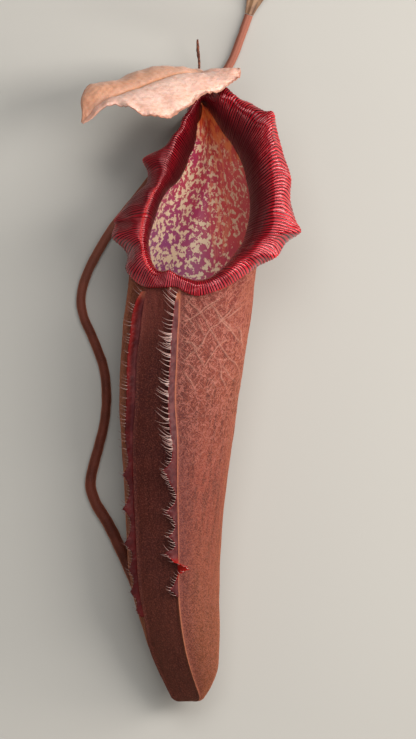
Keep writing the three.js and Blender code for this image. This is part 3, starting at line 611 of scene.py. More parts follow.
# Materials
def srgb(hex_colour):
    """Linear colour of an sRGB hex value."""
    shares = [int(hex_colour[i : i + 2], 16) / 255 for i in (1, 3, 5)]
    return (*[c / 12.92 if c <= 0.04045 else ((c + 0.055) / 1.055) ** 2.4 for c in shares], 1.0)


def add_node(material, kind, inputs=None, output=None, **settings):
    """Adds a node with its settings, and returns the output that is asked for, or its first one.

    An input, by its name or its place, takes a number, a colour in hex or the output of another node.
    """
    node = material.node_tree.nodes.new("ShaderNode" + kind)
    for name, value in settings.items():
        setattr(node, name, value)
    shown = [socket for socket in node.inputs if socket.enabled]
    for key, value in (inputs or {}).items():
        socket = shown[key] if isinstance(key, int) else next(s for s in shown if s.name == key)
        if isinstance(value, bpy.types.NodeSocket):
            material.node_tree.links.new(value, socket)
        else:
            socket.default_value = srgb(value) if isinstance(value, str) else value
    return node.outputs[output] if output else next(s for s in node.outputs if s.enabled)


def new_material(name, **surface):
    """A material with these values on its shader's own sockets."""
    material = bpy.data.materials.new(name)
    material.use_nodes = True
    shader = material.node_tree.nodes["Principled BSDF"]
    for socket, value in surface.items():
        shader.inputs[socket.replace("_", " ")].default_value = value
    return material


def tissue(name, masks=(), **surface):
    """A new material, add_node for it, the place of each point of its surface, and its masks by name."""
    material = new_material(name, **surface)
    add = functools.partial(add_node, material)
    place = add("TexCoord", output="Object")
    mark = {mask: add("Attribute", output="Fac", attribute_name=mask) for mask in masks}
    return material, add, place, mark


def lay_over(add, colour, layers):
    """A colour under layers, each the share of the surface that it covers and its own colour."""
    for share, layer in layers:
        colour = add("Mix", {"Factor": share, "A": colour, "B": layer}, data_type="RGBA")
    return colour


def dress(material, colour, height, depth, roughness=None):
    """Gives a material its colour, its relief of depth mm and, where it varies, its roughness."""
    shader = material.node_tree.nodes["Principled BSDF"]
    relief = add_node(material, "Bump", {"Height": height, "Distance": depth * MM})
    material.node_tree.links.new(colour, shader.inputs["Base Color"])
    material.node_tree.links.new(relief, shader.inputs["Normal"])
    if roughness:
        material.node_tree.links.new(roughness, shader.inputs["Roughness"])
    return material


def waves(size):
    """Scale of a pattern whose waves are size mm long."""
    return 1 / (size * MM)


SOFT = {"interpolation_type": "SMOOTHSTEP"}


def velvety_skin():
    """Outer skin of the cup: dull red-brown leaf tissue, whose down of tiny hairs shows as sheen and grain.

    The single hairs are too fine to show, so the grain is drawn at three times their spacing. The tissue has
    dried a little, which leaves a net of fine raised crinkles on the shoulder; their raised lines carry a
    painted highlight and their hollows painted shade.
    """
    material, add, place, mark = tissue(
        "velvety_pitcher_skin",
        ("facet", "left_side", "keel", "crease", "shaded_furrow", "wrinkled", "shaded", "high", "low"),
        Roughness=0.65,
        IOR=1.42,
        Specular_IOR_Level=0.2,
        Sheen_Weight=0.4,
        Sheen_Roughness=0.35,
        Sheen_Tint=srgb("#ff9860"),
        Subsurface_Weight=0.05,
        Subsurface_Scale=0.002,
    )
    lengthwise = add("Mapping", {"Vector": place, "Scale": (1, 0.09, 1)})
    streaks = add("TexNoise", {"Vector": lengthwise, "Scale": waves(2.8), "Detail": 4.0, "Roughness": 0.6})
    clouds = add("TexNoise", {"Vector": place, "Scale": waves(26), "Detail": 4.0})
    grain = add("TexNoise", {"Vector": place, "Scale": waves(0.8), "Detail": 2.0, "Roughness": 0.7})
    crinkles = []
    for turn in (0.7, -0.8):
        slant = {"Vector": place, "Rotation": (0, 0, turn), "Scale": (1, 3.2, 1)}
        slanting = add("Mapping", slant, vector_type="TEXTURE")
        crinkle = add("TexNoise", {"Vector": slanting, "Scale": waves(2.9), "Detail": 3.0, "Roughness": 0.5})
        crinkles.append(add("Math", {0: crinkle, 1: 0.5}, operation="PINGPONG"))
    crossing = add("Math", {0: crinkles[0], 1: crinkles[1]}, operation="MAXIMUM")
    share = {}
    for name, pattern, low, high, most in (
        ("net", crossing, 0.455, 0.495, 1.0),
        ("hollow", crossing, 0.45, 0.38, 0.5),
        ("patch", clouds, 0.35, 0.65, 1.0),
        ("dark streak", streaks, 0.47, 0.62, 0.85),
        ("faint streak", streaks, 0.45, 0.65, 0.4),
        ("pale streak", streaks, 0.47, 0.34, 0.5),
        ("grain", grain, 0.45, 0.7, 0.75),
        ("pit", grain, 0.55, 0.25, 0.7),
    ):
        limits = {"Value": pattern, "From Min": low, "From Max": high, "To Max": most}
        share[name] = add("MapRange", limits, **SOFT)
    # Painted highlight on the raised lines of the crinkle net, and painted shade in its hollows
    net_and_highlight = add("Math", {0: share["net"], 1: mark["wrinkled"]}, operation="MULTIPLY")
    sunk_shade = add("Math", {0: share["hollow"], 1: mark["wrinkled"]}, operation="MULTIPLY")
    skin = lay_over(add, "#662d23", [
        (share["patch"], "#74352a"),
        (share["dark streak"], "#4a2019"),
        (share["pale streak"], "#793d2e"),
        (mark["high"], "#7c3733"),
        (mark["low"], "#61361e"),
        (mark["shaded"], "#592c2a"),
    ])
    side = lay_over(add, "#4e1d0a", [(share["patch"], "#5c2910"), (share["dark streak"], "#3c1406")])
    outer = lay_over(add, skin, [
        (mark["left_side"], side),
        (sunk_shade, "#4c2422"),
        (net_and_highlight, "#a2645a"),
        (share["pit"], "#421c15"),
        (share["grain"], "#7f4534"),
        # Painted shade in the creases' lower-left furrows, and a painted highlight on their ridges
        (mark["shaded_furrow"], "#391817"),
        (mark["crease"], "#c08a79"),
    ])
    # Darker front facet: partly its own colour and partly painted shade, as it faces away from the light
    facet = lay_over(add, "#391313", [
        (share["patch"], "#401712"),
        (mark["high"], "#612c27"),
        (mark["low"], "#49231a"),
        (share["faint streak"], "#2c0d0b"),
        (share["grain"], "#6a372c"),
    ])
    colour = lay_over(add, outer, [(mark["facet"], facet), (mark["keel"], "#955a42")])
    rough = add("Math", {0: net_and_highlight, 1: 1.2, 2: grain}, operation="MULTIPLY_ADD")
    return dress(material, colour, rough, 0.35)


def waxy_lining():
    """Lining of the cup: smooth waxy tissue, cream flecks on magenta and violet, orange under the neck."""
    material, add, place, mark = tissue(
        "waxy_pitcher_lining",
        ("violet", "salmon", "flecked", "streaky", "neck"),
        Roughness=0.45,
        IOR=1.45,
        Subsurface_Weight=0.08,
        Subsurface_Scale=0.002,
    )
    upright = add("Mapping", {"Vector": place, "Scale": (1, 0.8, 0.8)})
    lengthwise = add("Mapping", {"Vector": place, "Scale": (1, 0.16, 0.4)})
    flecks = add("TexNoise", {"Vector": upright, "Scale": waves(2.5), "Detail": 4.0, "Roughness": 0.62})
    groups = add("TexNoise", {"Vector": place, "Scale": waves(13), "Detail": 2.0})
    threads = add("TexNoise", {"Vector": lengthwise, "Scale": waves(2.4), "Detail": 5.0, "Roughness": 0.65})
    grouped = add("Math", {0: groups, 1: 0.2, 2: flecks}, operation="MULTIPLY_ADD")
    placed = add("Math", {0: grouped, 1: mark["flecked"]}, operation="ADD")
    share = {}
    for name, pattern, low, high in (
        ("fleck", placed, 0.63, 0.665),
        ("patch", groups, 0.4, 0.6),
        ("thread", threads, 0.5, 0.58),
        ("vein", threads, 0.42, 0.54),
    ):
        share[name] = add("MapRange", {"Value": pattern, "From Min": low, "From Max": high}, **SOFT)
    streak = add("Math", {0: share["thread"], 1: mark["streaky"]}, operation="MULTIPLY")
    ground = lay_over(add, "#a73658", [
        (share["patch"], "#b13a4c"),
        (mark["violet"], "#884b7c"),
        (mark["salmon"], "#d95a56"),
    ])
    neck = lay_over(add, "#c03a22", [(share["vein"], "#dd7e42")])
    colour = lay_over(add, ground, [
        (share["fleck"], "#dcc6a6"),
        (streak, "#e1976e"),
        (mark["neck"], neck),
    ])
    return dress(material, colour, flecks, 0.15)


def glossy_lip():
    """Lip: hard ribs under a wet-looking wax coat, so that each catches the light along its back.

    The backs are blood red, brighter red on the outer half and lighter towards the right as painted light,
    rosier at the front and on the right as a painted sheen, and darker on the left and along the inner edge
    as painted shade, where they are also duller. The furrows between them are painted nearly black as shade.
    """
    material, add, place, mark = tissue(
        "wax_coated_ribbed_lip",
        ("rib", "bright_and_lit", "painted_sheen", "dark", "edge"),
        IOR=1.5,
        Specular_IOR_Level=0.7,
        Specular_Tint=srgb("#ffa4a8"),
        Coat_Weight=0.12,
        Coat_Roughness=0.08,
    )
    clouds = add("TexNoise", {"Vector": place, "Scale": waves(14), "Detail": 3.0})
    fine = add("TexNoise", {"Vector": place, "Scale": waves(1.6), "Detail": 3.0, "Roughness": 0.6})
    patch = add("MapRange", {"Value": clouds, "From Min": 0.4, "From Max": 0.6}, **SOFT)
    height = add("MapRange", {"Value": mark["rib"], "From Min": 0.7, "From Max": 1.0}, **SOFT)
    back = lay_over(add, "#7a0c19", [
        (patch, "#96131f"),
        # Brighter red, partly painted light from the right
        (mark["bright_and_lit"], "#b81822"),
        # Painted sheen
        (mark["painted_sheen"], "#ac4650"),
        # Painted shade on the inner slope and the left side
        (mark["dark"], "#44070f"),
    ])
    # The furrows between the ribs are painted nearly black as shade
    shaded_furrow = lay_over(add, "#0a0001", [(mark["bright_and_lit"], "#140102"), (mark["dark"], "#240306")])
    colour = lay_over(add, shaded_furrow, [(height, back), (mark["edge"], "#c8160f")])
    roughness = add("MapRange", {"Value": mark["dark"], "To Min": 0.13, "To Max": 0.42})
    return dress(material, colour, fine, 0.06, roughness)


def thin_lid():
    """Lid: thin pale leaf tissue, finely wrinkled and speckled, orange along the midrib and the rims."""
    material, add, place, mark = tissue(
        "thin_lid_tissue",
        ("rim", "midrib", "far", "tip"),
        Roughness=0.55,
        IOR=1.42,
        Sheen_Weight=0.15,
        Sheen_Roughness=0.4,
        Subsurface_Weight=0.12,
        Subsurface_Scale=0.003,
    )
    clouds = add("TexNoise", {"Vector": place, "Scale": waves(18), "Detail": 4.0})
    speckle = add("TexNoise", {"Vector": place, "Scale": waves(1.1), "Detail": 2.0, "Roughness": 0.65})
    slant = {"Vector": place, "Rotation": (0, 0, 0.3), "Scale": (7, 1, 1)}
    slanting = add("Mapping", slant, vector_type="TEXTURE")
    veins = add("TexNoise", {"Vector": slanting, "Scale": waves(2.0), "Detail": 3.0, "Roughness": 0.6})
    patch = add("MapRange", {"Value": clouds, "From Min": 0.35, "From Max": 0.65}, **SOFT)
    vein = add("MapRange", {"Value": veins, "From Min": 0.48, "From Max": 0.64, "To Max": 0.4}, **SOFT)
    speck = add("MapRange", {"Value": speckle, "From Min": 0.48, "From Max": 0.8, "To Max": 0.6}, **SOFT)
    colour = lay_over(add, "#d2a898", [
        (patch, "#d9b6a8"),
        (mark["far"], "#c98c66"),
        (vein, "#be8468"),
        (speck, "#b68168"),
        (mark["midrib"], "#bd815a"),
        (mark["tip"], "#b27861"),
        (mark["rim"], "#8b4e33"),
    ])
    rough = add("Math", {0: veins, 1: speckle}, operation="ADD")
    return dress(material, colour, rough, 0.3)


def wing_tissue():
    """Wings: thin dark red leaf tissue with little shine, mauve towards its foot and pale in its fringe."""
    material, add, place, mark = tissue(
        "fringed_wing_tissue",
        ("red", "mauve", "pale", "tan"),
        Roughness=0.5,
        IOR=1.42,
        Specular_IOR_Level=0.15,
        Subsurface_Weight=0.08,
        Subsurface_Scale=0.001,
    )
    clouds = add("TexNoise", {"Vector": place, "Scale": waves(6), "Detail": 4.0})
    fine = add("TexNoise", {"Vector": place, "Scale": waves(1.6), "Detail": 3.0})
    patch = add("MapRange", {"Value": clouds, "From Min": 0.35, "From Max": 0.65}, **SOFT)
    mauve = lay_over(add, "#442428", [(patch, "#5e3737")])
    colour = lay_over(add, "#350608", [
        (patch, "#440a0c"),
        (mark["mauve"], mauve),
        (mark["red"], "#a01812"),
        (mark["tan"], "#8b533e"),
        (mark["pale"], "#c7aea7"),
    ])
    return dress(material, colour, fine, 0.2)


def downy_stalk():
    """Tendril: tough brown stalk under a fine down, with a painted sheen that lightens its sides."""
    material, add, place, mark = tissue(
        "downy_tendril_skin",
        ("young", "side"),
        Roughness=0.62,
        IOR=1.42,
        Specular_IOR_Level=0.25,
        Sheen_Weight=0.7,
        Sheen_Roughness=0.3,
        Sheen_Tint=srgb("#f09068"),
    )
    clouds = add("TexNoise", {"Vector": place, "Scale": waves(12), "Detail": 4.0})
    speckle = add("TexNoise", {"Vector": place, "Scale": waves(0.9), "Detail": 2.0, "Roughness": 0.65})
    patch = add("MapRange", {"Value": clouds, "From Min": 0.35, "From Max": 0.65}, **SOFT)
    speck = add("MapRange", {"Value": speckle, "From Min": 0.5, "From Max": 0.8, "To Max": 0.5}, **SOFT)
    colour = lay_over(add, "#4c2015", [
        (patch, "#5e2b1e"),
        # Painted sheen along the sides
        (mark["side"], "#96563e"),
        (mark["young"], "#8c5545"),
        (speck, "#7c4837"),
    ])
    return dress(material, colour, speckle, 0.25)


def leaf_tissue():
    """Leaf tip: leathery leaf tissue, dull brown with paler patches and fine dark veins along it."""
    material, add, place, _ = tissue("leathery_leaf_tissue", Roughness=0.5, IOR=1.45)
    slant = {"Vector": place, "Rotation": (0, 0, -0.37), "Scale": (1, 10, 1)}
    lengthwise = add("Mapping", slant, vector_type="TEXTURE")
    veins = add("TexNoise", {"Vector": lengthwise, "Scale": waves(1.8), "Detail": 4.0})
    clouds = add("TexNoise", {"Vector": place, "Scale": waves(8), "Detail": 3.0})
    patch = add("MapRange", {"Value": clouds, "From Min": 0.35, "From Max": 0.65}, **SOFT)
    vein = add("MapRange", {"Value": veins, "From Min": 0.5, "From Max": 0.65}, **SOFT)
    colour = lay_over(add, "#6c4a34", [(patch, "#856447"), (vein, "#553925")])
    return dress(material, colour, veins, 0.25)


def dry_spur_skin():
    """Spur: dried brown stalk with a rough skin."""
    material, add, place, _ = tissue("dried_spur_skin", Roughness=0.75, IOR=1.42)
    speckle = add("TexNoise", {"Vector": place, "Scale": waves(1.4), "Detail": 3.0})
    speck = add("MapRange", {"Value": speckle, "From Min": 0.4, "From Max": 0.6}, **SOFT)
    colour = lay_over(add, "#3a170c", [(speck, "#6c3924")])
    return dress(material, colour, speckle, 0.3)


def painted_board():
    """Table: pale board under matt paint, with hardly any shine."""
    return new_material("matt_painted_board", Base_Color=srgb("#a5a49f"), Roughness=0.85)


# The cup's outer skin
FACET_COLUMNS = 76
RIGHT_COLUMNS = 108
BACK_COLUMNS = 74
HIGH_ROWS = 96
LOW_ROWS = 156
NECK_ROWS = 92
END_ROWS = 12
END_TOP = -130.0  # Y below which the rows close up towards the cup's end
SHOULDER = 38.0  # Y above which the rows stand close together for the creases
SKIN_RADIUS = 34.0  # turns an angle from a rib into about as many mm along the skin


def keel_lift(turn, y):
    """Height of the two ridges that carry the wings."""
    low = np.minimum(y, NECK_START)
    half = (along(TUBE, low, 2) - along(TUBE, low, 1)) / 2
    total = 0
    for rib in rib_turns(low):
        off = np.arctan2(np.sin(turn - rib), np.cos(turn - rib)) * half
        total = total + bump_at(off, 0, KEEL_BREADTH)
    return KEEL_HEIGHT * total


def crease_lines(points):
    """How near each point lies to the ridge of a crease, and to the groove on its lower left, where shade is
    painted.
    """
    waver = points_of(soft_noise(points, 6, 7), soft_noise(points, 6, 8)) * CREASE_WAVER
    seen = points[..., :2] + waver
    lower_left = np.array([-1, -0.7])
    ridge = np.zeros(points.shape[:-1])
    shaded_furrow = np.zeros(points.shape[:-1])
    for crease in CREASES:
        line = np.array(crease, float)
        for i, (a, b) in enumerate(zip(line, line[1:])):
            way = unit(b - a)
            normal = np.array([-way[1], way[0]])
            if normal @ lower_left < 0:
                normal = -normal
            run = (seen - a) @ way
            length = np.linalg.norm(b - a)
            beyond = np.maximum(np.maximum(-run, run - length), 0)
            off = (seen - a) @ normal
            fade = bump_at(beyond, 0, 0.5)
            if i == 0:
                fade = fade * np.clip(run / CREASE_FADE, 0.2, 1)
            if i == len(line) - 2:
                fade = fade * np.clip((length - run) / CREASE_FADE, 0.2, 1)
            ridge = np.maximum(ridge, fade * bump_at(off, 0, CREASE_BREADTH))
            shaded_furrow = np.maximum(shaded_furrow, fade * bump_at(off, 1.7 * CREASE_BREADTH, 1.2 * CREASE_BREADTH))
    return ridge, shaded_furrow


def loose_creases(points):
    """Faint creases at three slants that cross one another beside the drawn ones, from 0 to 1."""
    waver = soft_noise(points, 16, 5) * 1.2
    total = np.zeros(points.shape[:-1])
    for slant, spacing, seed in ((42, 7.0, 11), (-38, 8.5, 12), (60, 5.2, 14)):
        direction = np.array([math.cos(math.radians(slant)), math.sin(math.radians(slant)), 0.5])
        wave = np.sin(points @ direction * (math.pi / spacing) + waver)
        broken = np.clip(soft_noise(points, 9, seed) * 0.9 + 0.1, 0, 1)
        total = np.maximum(total, (1 - np.abs(wave)) ** 12 * broken)
    return total


def skin_normals(rows):
    """The way the skin looks at each of its points, from their rows closed round the tube."""
    around = np.roll(rows, -1, axis=1) - np.roll(rows, 1, axis=1)
    up = np.gradient(rows, axis=0)
    return unit(np.cross(around, up))


def skin_grid():
    """Rows of points from the cup's closed end up into the lip, and their angles round the tube."""
    end = TUBE[-1, 0]
    heights = np.concatenate([
        end + (END_TOP - end) * (np.arange(END_ROWS) / END_ROWS) ** 1.8,
        np.linspace(END_TOP, SHOULDER, LOW_ROWS, endpoint=False),
        np.linspace(SHOULDER, NECK_START, HIGH_ROWS, endpoint=False),
    ])
    columns = (FACET_COLUMNS, RIGHT_COLUMNS, BACK_COLUMNS)
    turns = column_turns(*columns, heights)
    y = heights[:, None] + 0 * turns
    from_end = np.clip((y - end) / END_ROUNDING, 0, 1)
    inset = END_ROUNDING * (1 - np.sqrt(1 - (1 - from_end) ** 2))
    tube = tube_point(y, turns, inset, keel_lift(turns, y) * from_end)
    neck_turns = column_turns(*columns, np.full(NECK_ROWS, NECK_START))
    shares = np.linspace(0, 1, NECK_ROWS)[:, None] + 0 * neck_turns
    neck = neck_point(neck_turns, shares, keel_lift(neck_turns, 0 * neck_turns + NECK_START))
    return np.concatenate([tube, neck]), np.concatenate([turns, neck_turns])


def make_cup_skin(material):
    """The cup's outer skin, with its creases and ripple as shape and masks for its colouring."""
    points, turns = skin_grid()
    y = points[..., 1]
    z = points[..., 2]
    first, last = rib_turns(np.minimum(y, NECK_START))
    from_left = (turns - first) * SKIN_RADIUS
    from_right = (turns - last) * SKIN_RADIUS
    to_left = (first + 2 * math.pi - turns) * SKIN_RADIUS
    facet = smooth_share(-1.5, 0.1, from_left) * smooth_share(0.4, -0.8, from_right)
    left_side = smooth_share(46, 6, to_left) * smooth_share(140, 105, y)
    right_side = smooth_share(0.5, 3, from_right) * smooth_share(95, 70, from_right)
    from_keel = np.minimum(np.minimum(np.abs(from_left), np.abs(from_right)), to_left)
    keel = bump_at(from_right, 0.35, 0.5) + 0.3 * bump_at(to_left, 0.3, 0.5) * smooth_share(-80, -100, y)
    shaded = smooth_share(18, 1, from_right) * smooth_share(-0.5, 1.5, from_right)
    wrinkled = (0.2 + 0.8 * smooth_share(-25, 75, y)) * (0.25 + 0.75 * right_side)
    wrinkled = wrinkled * smooth_share(0.5, 3, from_keel)
    ridge, shaded_furrow = crease_lines(points)
    drawn = right_side * smooth_share(20, 34, z)
    loose = loose_creases(points) * smooth_share(-30, 60, y) * (1 - 0.85 * facet)
    ripple = soft_noise(points * np.array([1, 0.22, 1]), 2.4, 3) * SKIN_RIPPLE
    calm = smooth_share(0.8, 3.5, from_keel) * smooth_share(0, 6, z)
    relief = (ridge * drawn - 0.5 * shaded_furrow * drawn + 0.45 * loose) * CREASE_HEIGHT + ripple - SKIN_SINK
    points = above_table(points + skin_normals(points) * (relief * calm)[..., None])
    masks = {
        # The front facet's darker colour is partly painted shade
        "facet": facet * (1 - 0.25 * smooth_share(60, 110, y)),
        "left_side": left_side,
        "keel": np.clip(keel, 0, 1) * smooth_share(-142, -130, y),
        # The creases' ridges are painted paler as a highlight, and their lower-left furrows darker as shade
        "crease": np.clip(ridge * drawn * 0.5 + 0.35 * loose, 0, 1),
        "shaded_furrow": shaded_furrow * drawn * 0.4,
        "wrinkled": wrinkled * 0.8,
        "shaded": shaded * 0.9 * (0.5 + 0.5 * smooth_share(-140, -40, y)) * smooth_share(118, 92, y),
        "high": smooth_share(45, 112, y) * 0.75,
        "low": smooth_share(0, -110, y) * 0.8,
    }
    masks = {name: with_caps(values, y.shape) for name, values in masks.items()}
    all_points, faces = capped(points)
    open_top = len(all_points) - 1
    faces = [face for face in faces if open_top not in face]
    make_piece("cup_skin", all_points, faces, material, "cup", masks)


# The cup's lining and its foot
LINING_COLUMNS = (30, 60, 80)
LINING_NECK_ROWS = 90
LINING_TUBE_ROWS = 60
FOOT_ROWS = 60
FOOT_SIDES = 40


def make_cup_lining(material):
    """The cup's inner skin, from the lip down to the end of the hollow."""
    neck_turns = column_turns(*LINING_COLUMNS, np.full(LINING_NECK_ROWS, NECK_START))
    neck = lining_point(neck_turns, np.linspace(1, 0, LINING_NECK_ROWS)[:, None] + 0 * neck_turns)
    heights = np.linspace(NECK_START - 3, CAVITY_END, LINING_TUBE_ROWS)
    turns = column_turns(*LINING_COLUMNS, heights)
    tube = tube_point(heights[:, None] + 0 * turns, turns, CUP_WALL)
    points = np.concatenate([neck, tube])
    x, y = points[..., 0], points[..., 1]
    few_flecks = smooth_share(26, 38, x) * smooth_share(150, 120, y)
    masks = {
        "violet": smooth_share(34, -10, x) * smooth_share(182, 132, y) * 0.75,
        "salmon": smooth_share(16, 32, x) * smooth_share(115, 145, y) * smooth_share(225, 190, y) * 0.7,
        "flecked": 0.03 * smooth_share(24, 4, x) - 0.05 * few_flecks,
        "streaky": smooth_share(15, 23, x) * smooth_share(112, 150, y) * smooth_share(40, 28, x) * 0.55,
        "neck": smooth_share(191, 213, y + 0.7 * (x - 18) + 4 * soft_noise(points, 4, 19)),
    }
    masks = {name: with_caps(values, y.shape) for name, values in masks.items()}
    all_points, faces = capped(points)
    open_mouth = len(all_points) - 2
    faces = [face[::-1] for face in faces if open_mouth not in face]
    make_piece("cup_lining", all_points, faces, material, "cup", masks)


def make_foot(material):
    """The bend under the cup's end that narrows into the tendril."""
    rows = spline_rows(FOOT, FOOT_ROWS)
    rings = tube_rings(rows[:, :3], rows[:, 3], FOOT_SIDES)
    rings = swollen(rings, 0.03 * soft_noise(rings, 3, 23))
    points, faces = capped(above_table(rings))
    masks = {"low": np.full(len(points), 0.8)}
    make_piece("cup_foot", points, faces, material, "cup", masks)


# The lip's ribs
LIP_FACE_ROWS = 36
LIP_BACK_ROWS = 11


def from_stops(stops, x):
    """Value at x between the (place, value) stops of a run."""
    return np.interp(x, [stop[0] for stop in stops], [stop[1] for stop in stops])


def rib_places(chance):
    """Places round the lip of the columns of its slightly uneven ribs, and the ribs' spacing there."""
    fine = np.linspace(0, len(LIP), 40 * len(LIP) + 1)
    crest = lip_point(fine, 0.6)
    spacing = from_stops(RIB_SPACING, fine)
    lengths = np.linalg.norm(np.diff(crest, axis=0), axis=1) / (spacing[1:] + spacing[:-1]) * 2
    ribs = np.concatenate([[0], np.cumsum(lengths)])
    count = round(ribs[-1])
    starts = np.arange(count + 1) + chance.uniform(-RIB_UNEVENNESS, RIB_UNEVENNESS, count + 1)
    starts[0], starts[-1] = 0, count
    wanted = np.interp(np.arange(count * RIB_STEPS) / RIB_STEPS, np.arange(count + 1), starts)
    place = np.interp(wanted * ribs[-1] / count, ribs, fine)
    return place, from_stops(RIB_SPACING, place)


def lip_masks(points, spread, ribs):
    """A mask for each part of the lip's colouring: spread is 0 at its inner edge and 1 at its outer edge."""
    x, y = points[..., 0], points[..., 1]
    front = smooth_share(152, 118, y)
    right = smooth_share(20, 45, x) * smooth_share(215, 175, y)
    left = smooth_share(6, -6, x) * (1 - front)
    left_fold = smooth_share(-8, -14, x) * bump_at(spread, 0.46, 0.04)
    glow = np.clip(0.5 + 0.6 * soft_noise(points, 8, 31), 0, 1)
    gleam = np.clip(0.5 + 0.6 * soft_noise(points, 7, 33), 0, 1)
    outer = smooth_share(0.55, 0.9, spread)
    # Brighter red on the outer half in random patches, and more of it towards the right as painted light
    bright_and_lit = outer * glow * (0.4 + 0.6 * smooth_share(-20, 10, x)) * (1 - 0.5 * front)
    bright_and_lit = bright_and_lit + 0.45 * right * smooth_share(0.3, 0.6, spread)
    # A painted sheen, rosy, round the front and on the right, in patches
    painted_sheen = 0.6 * front + 0.35 * right * (1 - front)
    painted_sheen = painted_sheen * smooth_share(0.4, 0.6, spread) * smooth_share(1, 0.85, spread) * (0.35 + 0.65 * gleam)
    inner_edge = smooth_share(0.07, 0.0, spread) * front
    outer_edge = 0.75 * smooth_share(0.93, 1.0, spread) * glow
    return {
        "rib": ribs,
        "bright_and_lit": np.clip(bright_and_lit, 0, 1),
        "painted_sheen": np.clip(painted_sheen, 0, 1),
        # Darker inner slope and left side as painted shade; the same mask makes them duller
        "dark": np.maximum(smooth_share(0.5, 0.16, spread), 0.6 * left) * (1 - 0.85 * front),
        "edge": np.clip(inner_edge + outer_edge + 0.4 * left_fold, 0, 1),
    }


def make_lip(material):
    """The lip: each run of points goes along a rib, from the inner edge over the face and back behind it."""
    chance = np.random.default_rng(17)
    place, spacing = rib_places(chance)
    count = len(place)
    phase = (np.arange(count) % RIB_STEPS) / RIB_STEPS
    tall = np.repeat(chance.uniform(0.65, 1.1, count // RIB_STEPS), RIB_STEPS)[:, None]
    place = place[:, None]
    rounded = (1 - np.abs(2 * phase - 1) ** RIB_FLATNESS)[:, None]
    across = np.linspace(0, 1, LIP_FACE_ROWS)[None, :]
    bowed = place + from_stops(RIB_BOW, place) * np.sin(math.pi * across)
    wavering = tall + 0.2 * soft_noise(lip_point(bowed, across), 5, 21)
    span = np.sqrt(np.sin(math.pi * (0.05 + 0.9 * across)))
    height = RIB_HEIGHT * spacing[:, None] * rounded * span * wavering
    folded = smooth_share(0.35, 0.6, across) * smooth_share(1.0, 0.85, across)
    folds = LIP_FOLDS * soft_noise(lip_point(bowed, across), 5.5, 27) * folded
    lift = np.maximum(height + folds - FURROW_DEPTH, -DEEPEST_FURROW)
    face = lip_point(bowed, across) + lip_normal(bowed, across) * lift[..., None]
    outwards = unit(lip_point(place, 1.0) - lip_point(place, 0.95))
    tooth = TOOTH_LENGTH * spacing[:, None] * rounded - TOOTH_ROOT
    face = face + outwards * (tooth * smooth_share(0.92, 1, across))[..., None]
    back_across = np.linspace(0.985, 0.015, LIP_BACK_ROWS)[None, :]
    points = np.concatenate([face, lip_back(place, back_across)], axis=1)
    rows = points.shape[1]
    spread = np.concatenate([across + 0 * place, back_across + 0 * place], axis=1)
    ribs = np.concatenate([rounded + 0 * across, 0.4 + 0 * back_across + 0 * place], axis=1)
    masks = lip_masks(points, spread, ribs)
    faces = [face[::-1] for face in grid_faces(count, rows, wrap_rows=True)]
    make_piece("ribbed_lip", points.reshape(-1, 3), faces, material, "lip", masks)


# The lid
LID_ARCH = 3.5
LID_WAVE = 1.4
LID_BASE_FILL = 3.0  # fills the hollow between the two halves at the lid's base
LID_ROWS = 200
LID_COLUMNS = 125


def lid_point(place, across):
    """Point of the lid's middle layer: across is -1 at the far edge, 0 at the midrib, 1 at the near one."""
    place, across = np.broadcast_arrays(place, across)
    row = spline(LID, place)
    far, midrib, near = row[..., 0:3], row[..., 3:6], row[..., 6:9]
    share = np.abs(across)
    edge = np.where((across < 0)[..., None], far, near)
    point = midrib + (edge - midrib) * share[..., None]
    taper = np.sin(math.pi * np.clip(place / (len(LID) - 1), 0, 1))
    wave = LID_WAVE * taper * share**3 * np.sin(place * 5.2 + across) * np.where(across < 0, 0.35, 1)
    fill = LID_BASE_FILL * bump_at(place, 1.0, 0.7) * bump_at(across, 0.1, 0.4)
    point[..., 1] += LID_ARCH * taper * np.sin(math.pi * share**0.8) + wave * 0.6 + fill
    point[..., 2] += wave
    return point


def make_lid(material):
    """The lid, with its wrinkles and frilled rim as shape."""
    place = np.linspace(0, len(LID) - 1, LID_ROWS)[:, None]
    across = np.linspace(-1, 1, LID_COLUMNS)[None, :]
    grid = lid_point(place, across)
    share = np.abs(across)
    veins = np.sin((place * 2.6 + share * 2.2) * math.pi) * bump_at(share, 0.45, 0.4)
    wrinkle = soft_noise(grid, 2.0, 51) * 0.8 + soft_noise(grid, 5, 52) + veins * 0.6
    wrinkle = wrinkle * LID_WRINKLE * smooth_share(0, 1.5, place) - 0.45 * bump_at(share, 0, 0.05)
    down = np.gradient(grid, axis=0)
    side = np.gradient(grid, axis=1)
    inside = smooth_share(1.0, 0.85, share)
    grid = grid + unit(np.cross(down, side)) * (wrinkle * inside)[..., None]
    frill = smooth_share(0.8, 1.0, share) * soft_noise(grid, 1.8, 53) * 0.4 * smooth_share(0.5, 2, place)
    frill = frill * np.where(across < 0, 0.3, 1)
    grid = grid + points_of(0 * frill, frill, frill - 1.2 * smooth_share(0.8, 1.0, share))
    thickness = LID_THICKNESS * (1 - 0.6 * share**6) + 0 * place
    points, faces = blade_mesh(grid, thickness)
    masks = {
        "rim": smooth_share(0.93, 1.0, share) * smooth_share(0.3, 2, place) * 0.85,
        "midrib": bump_at(across, 0, 0.05) * 0.5 + 0.45 * bump_at(across, -0.08, 0.2),
        "far": smooth_share(-0.05, -0.3, across) * 0.75,
        "tip": smooth_share(7.5, 10.5, place) * 0.5,
    }
    shape = (LID_ROWS, LID_COLUMNS)
    masks = {name: np.tile(np.broadcast_to(values, shape).ravel(), 2) for name, values in masks.items()}
    make_piece("lid_leaf", points, faces, material, "lid", masks)


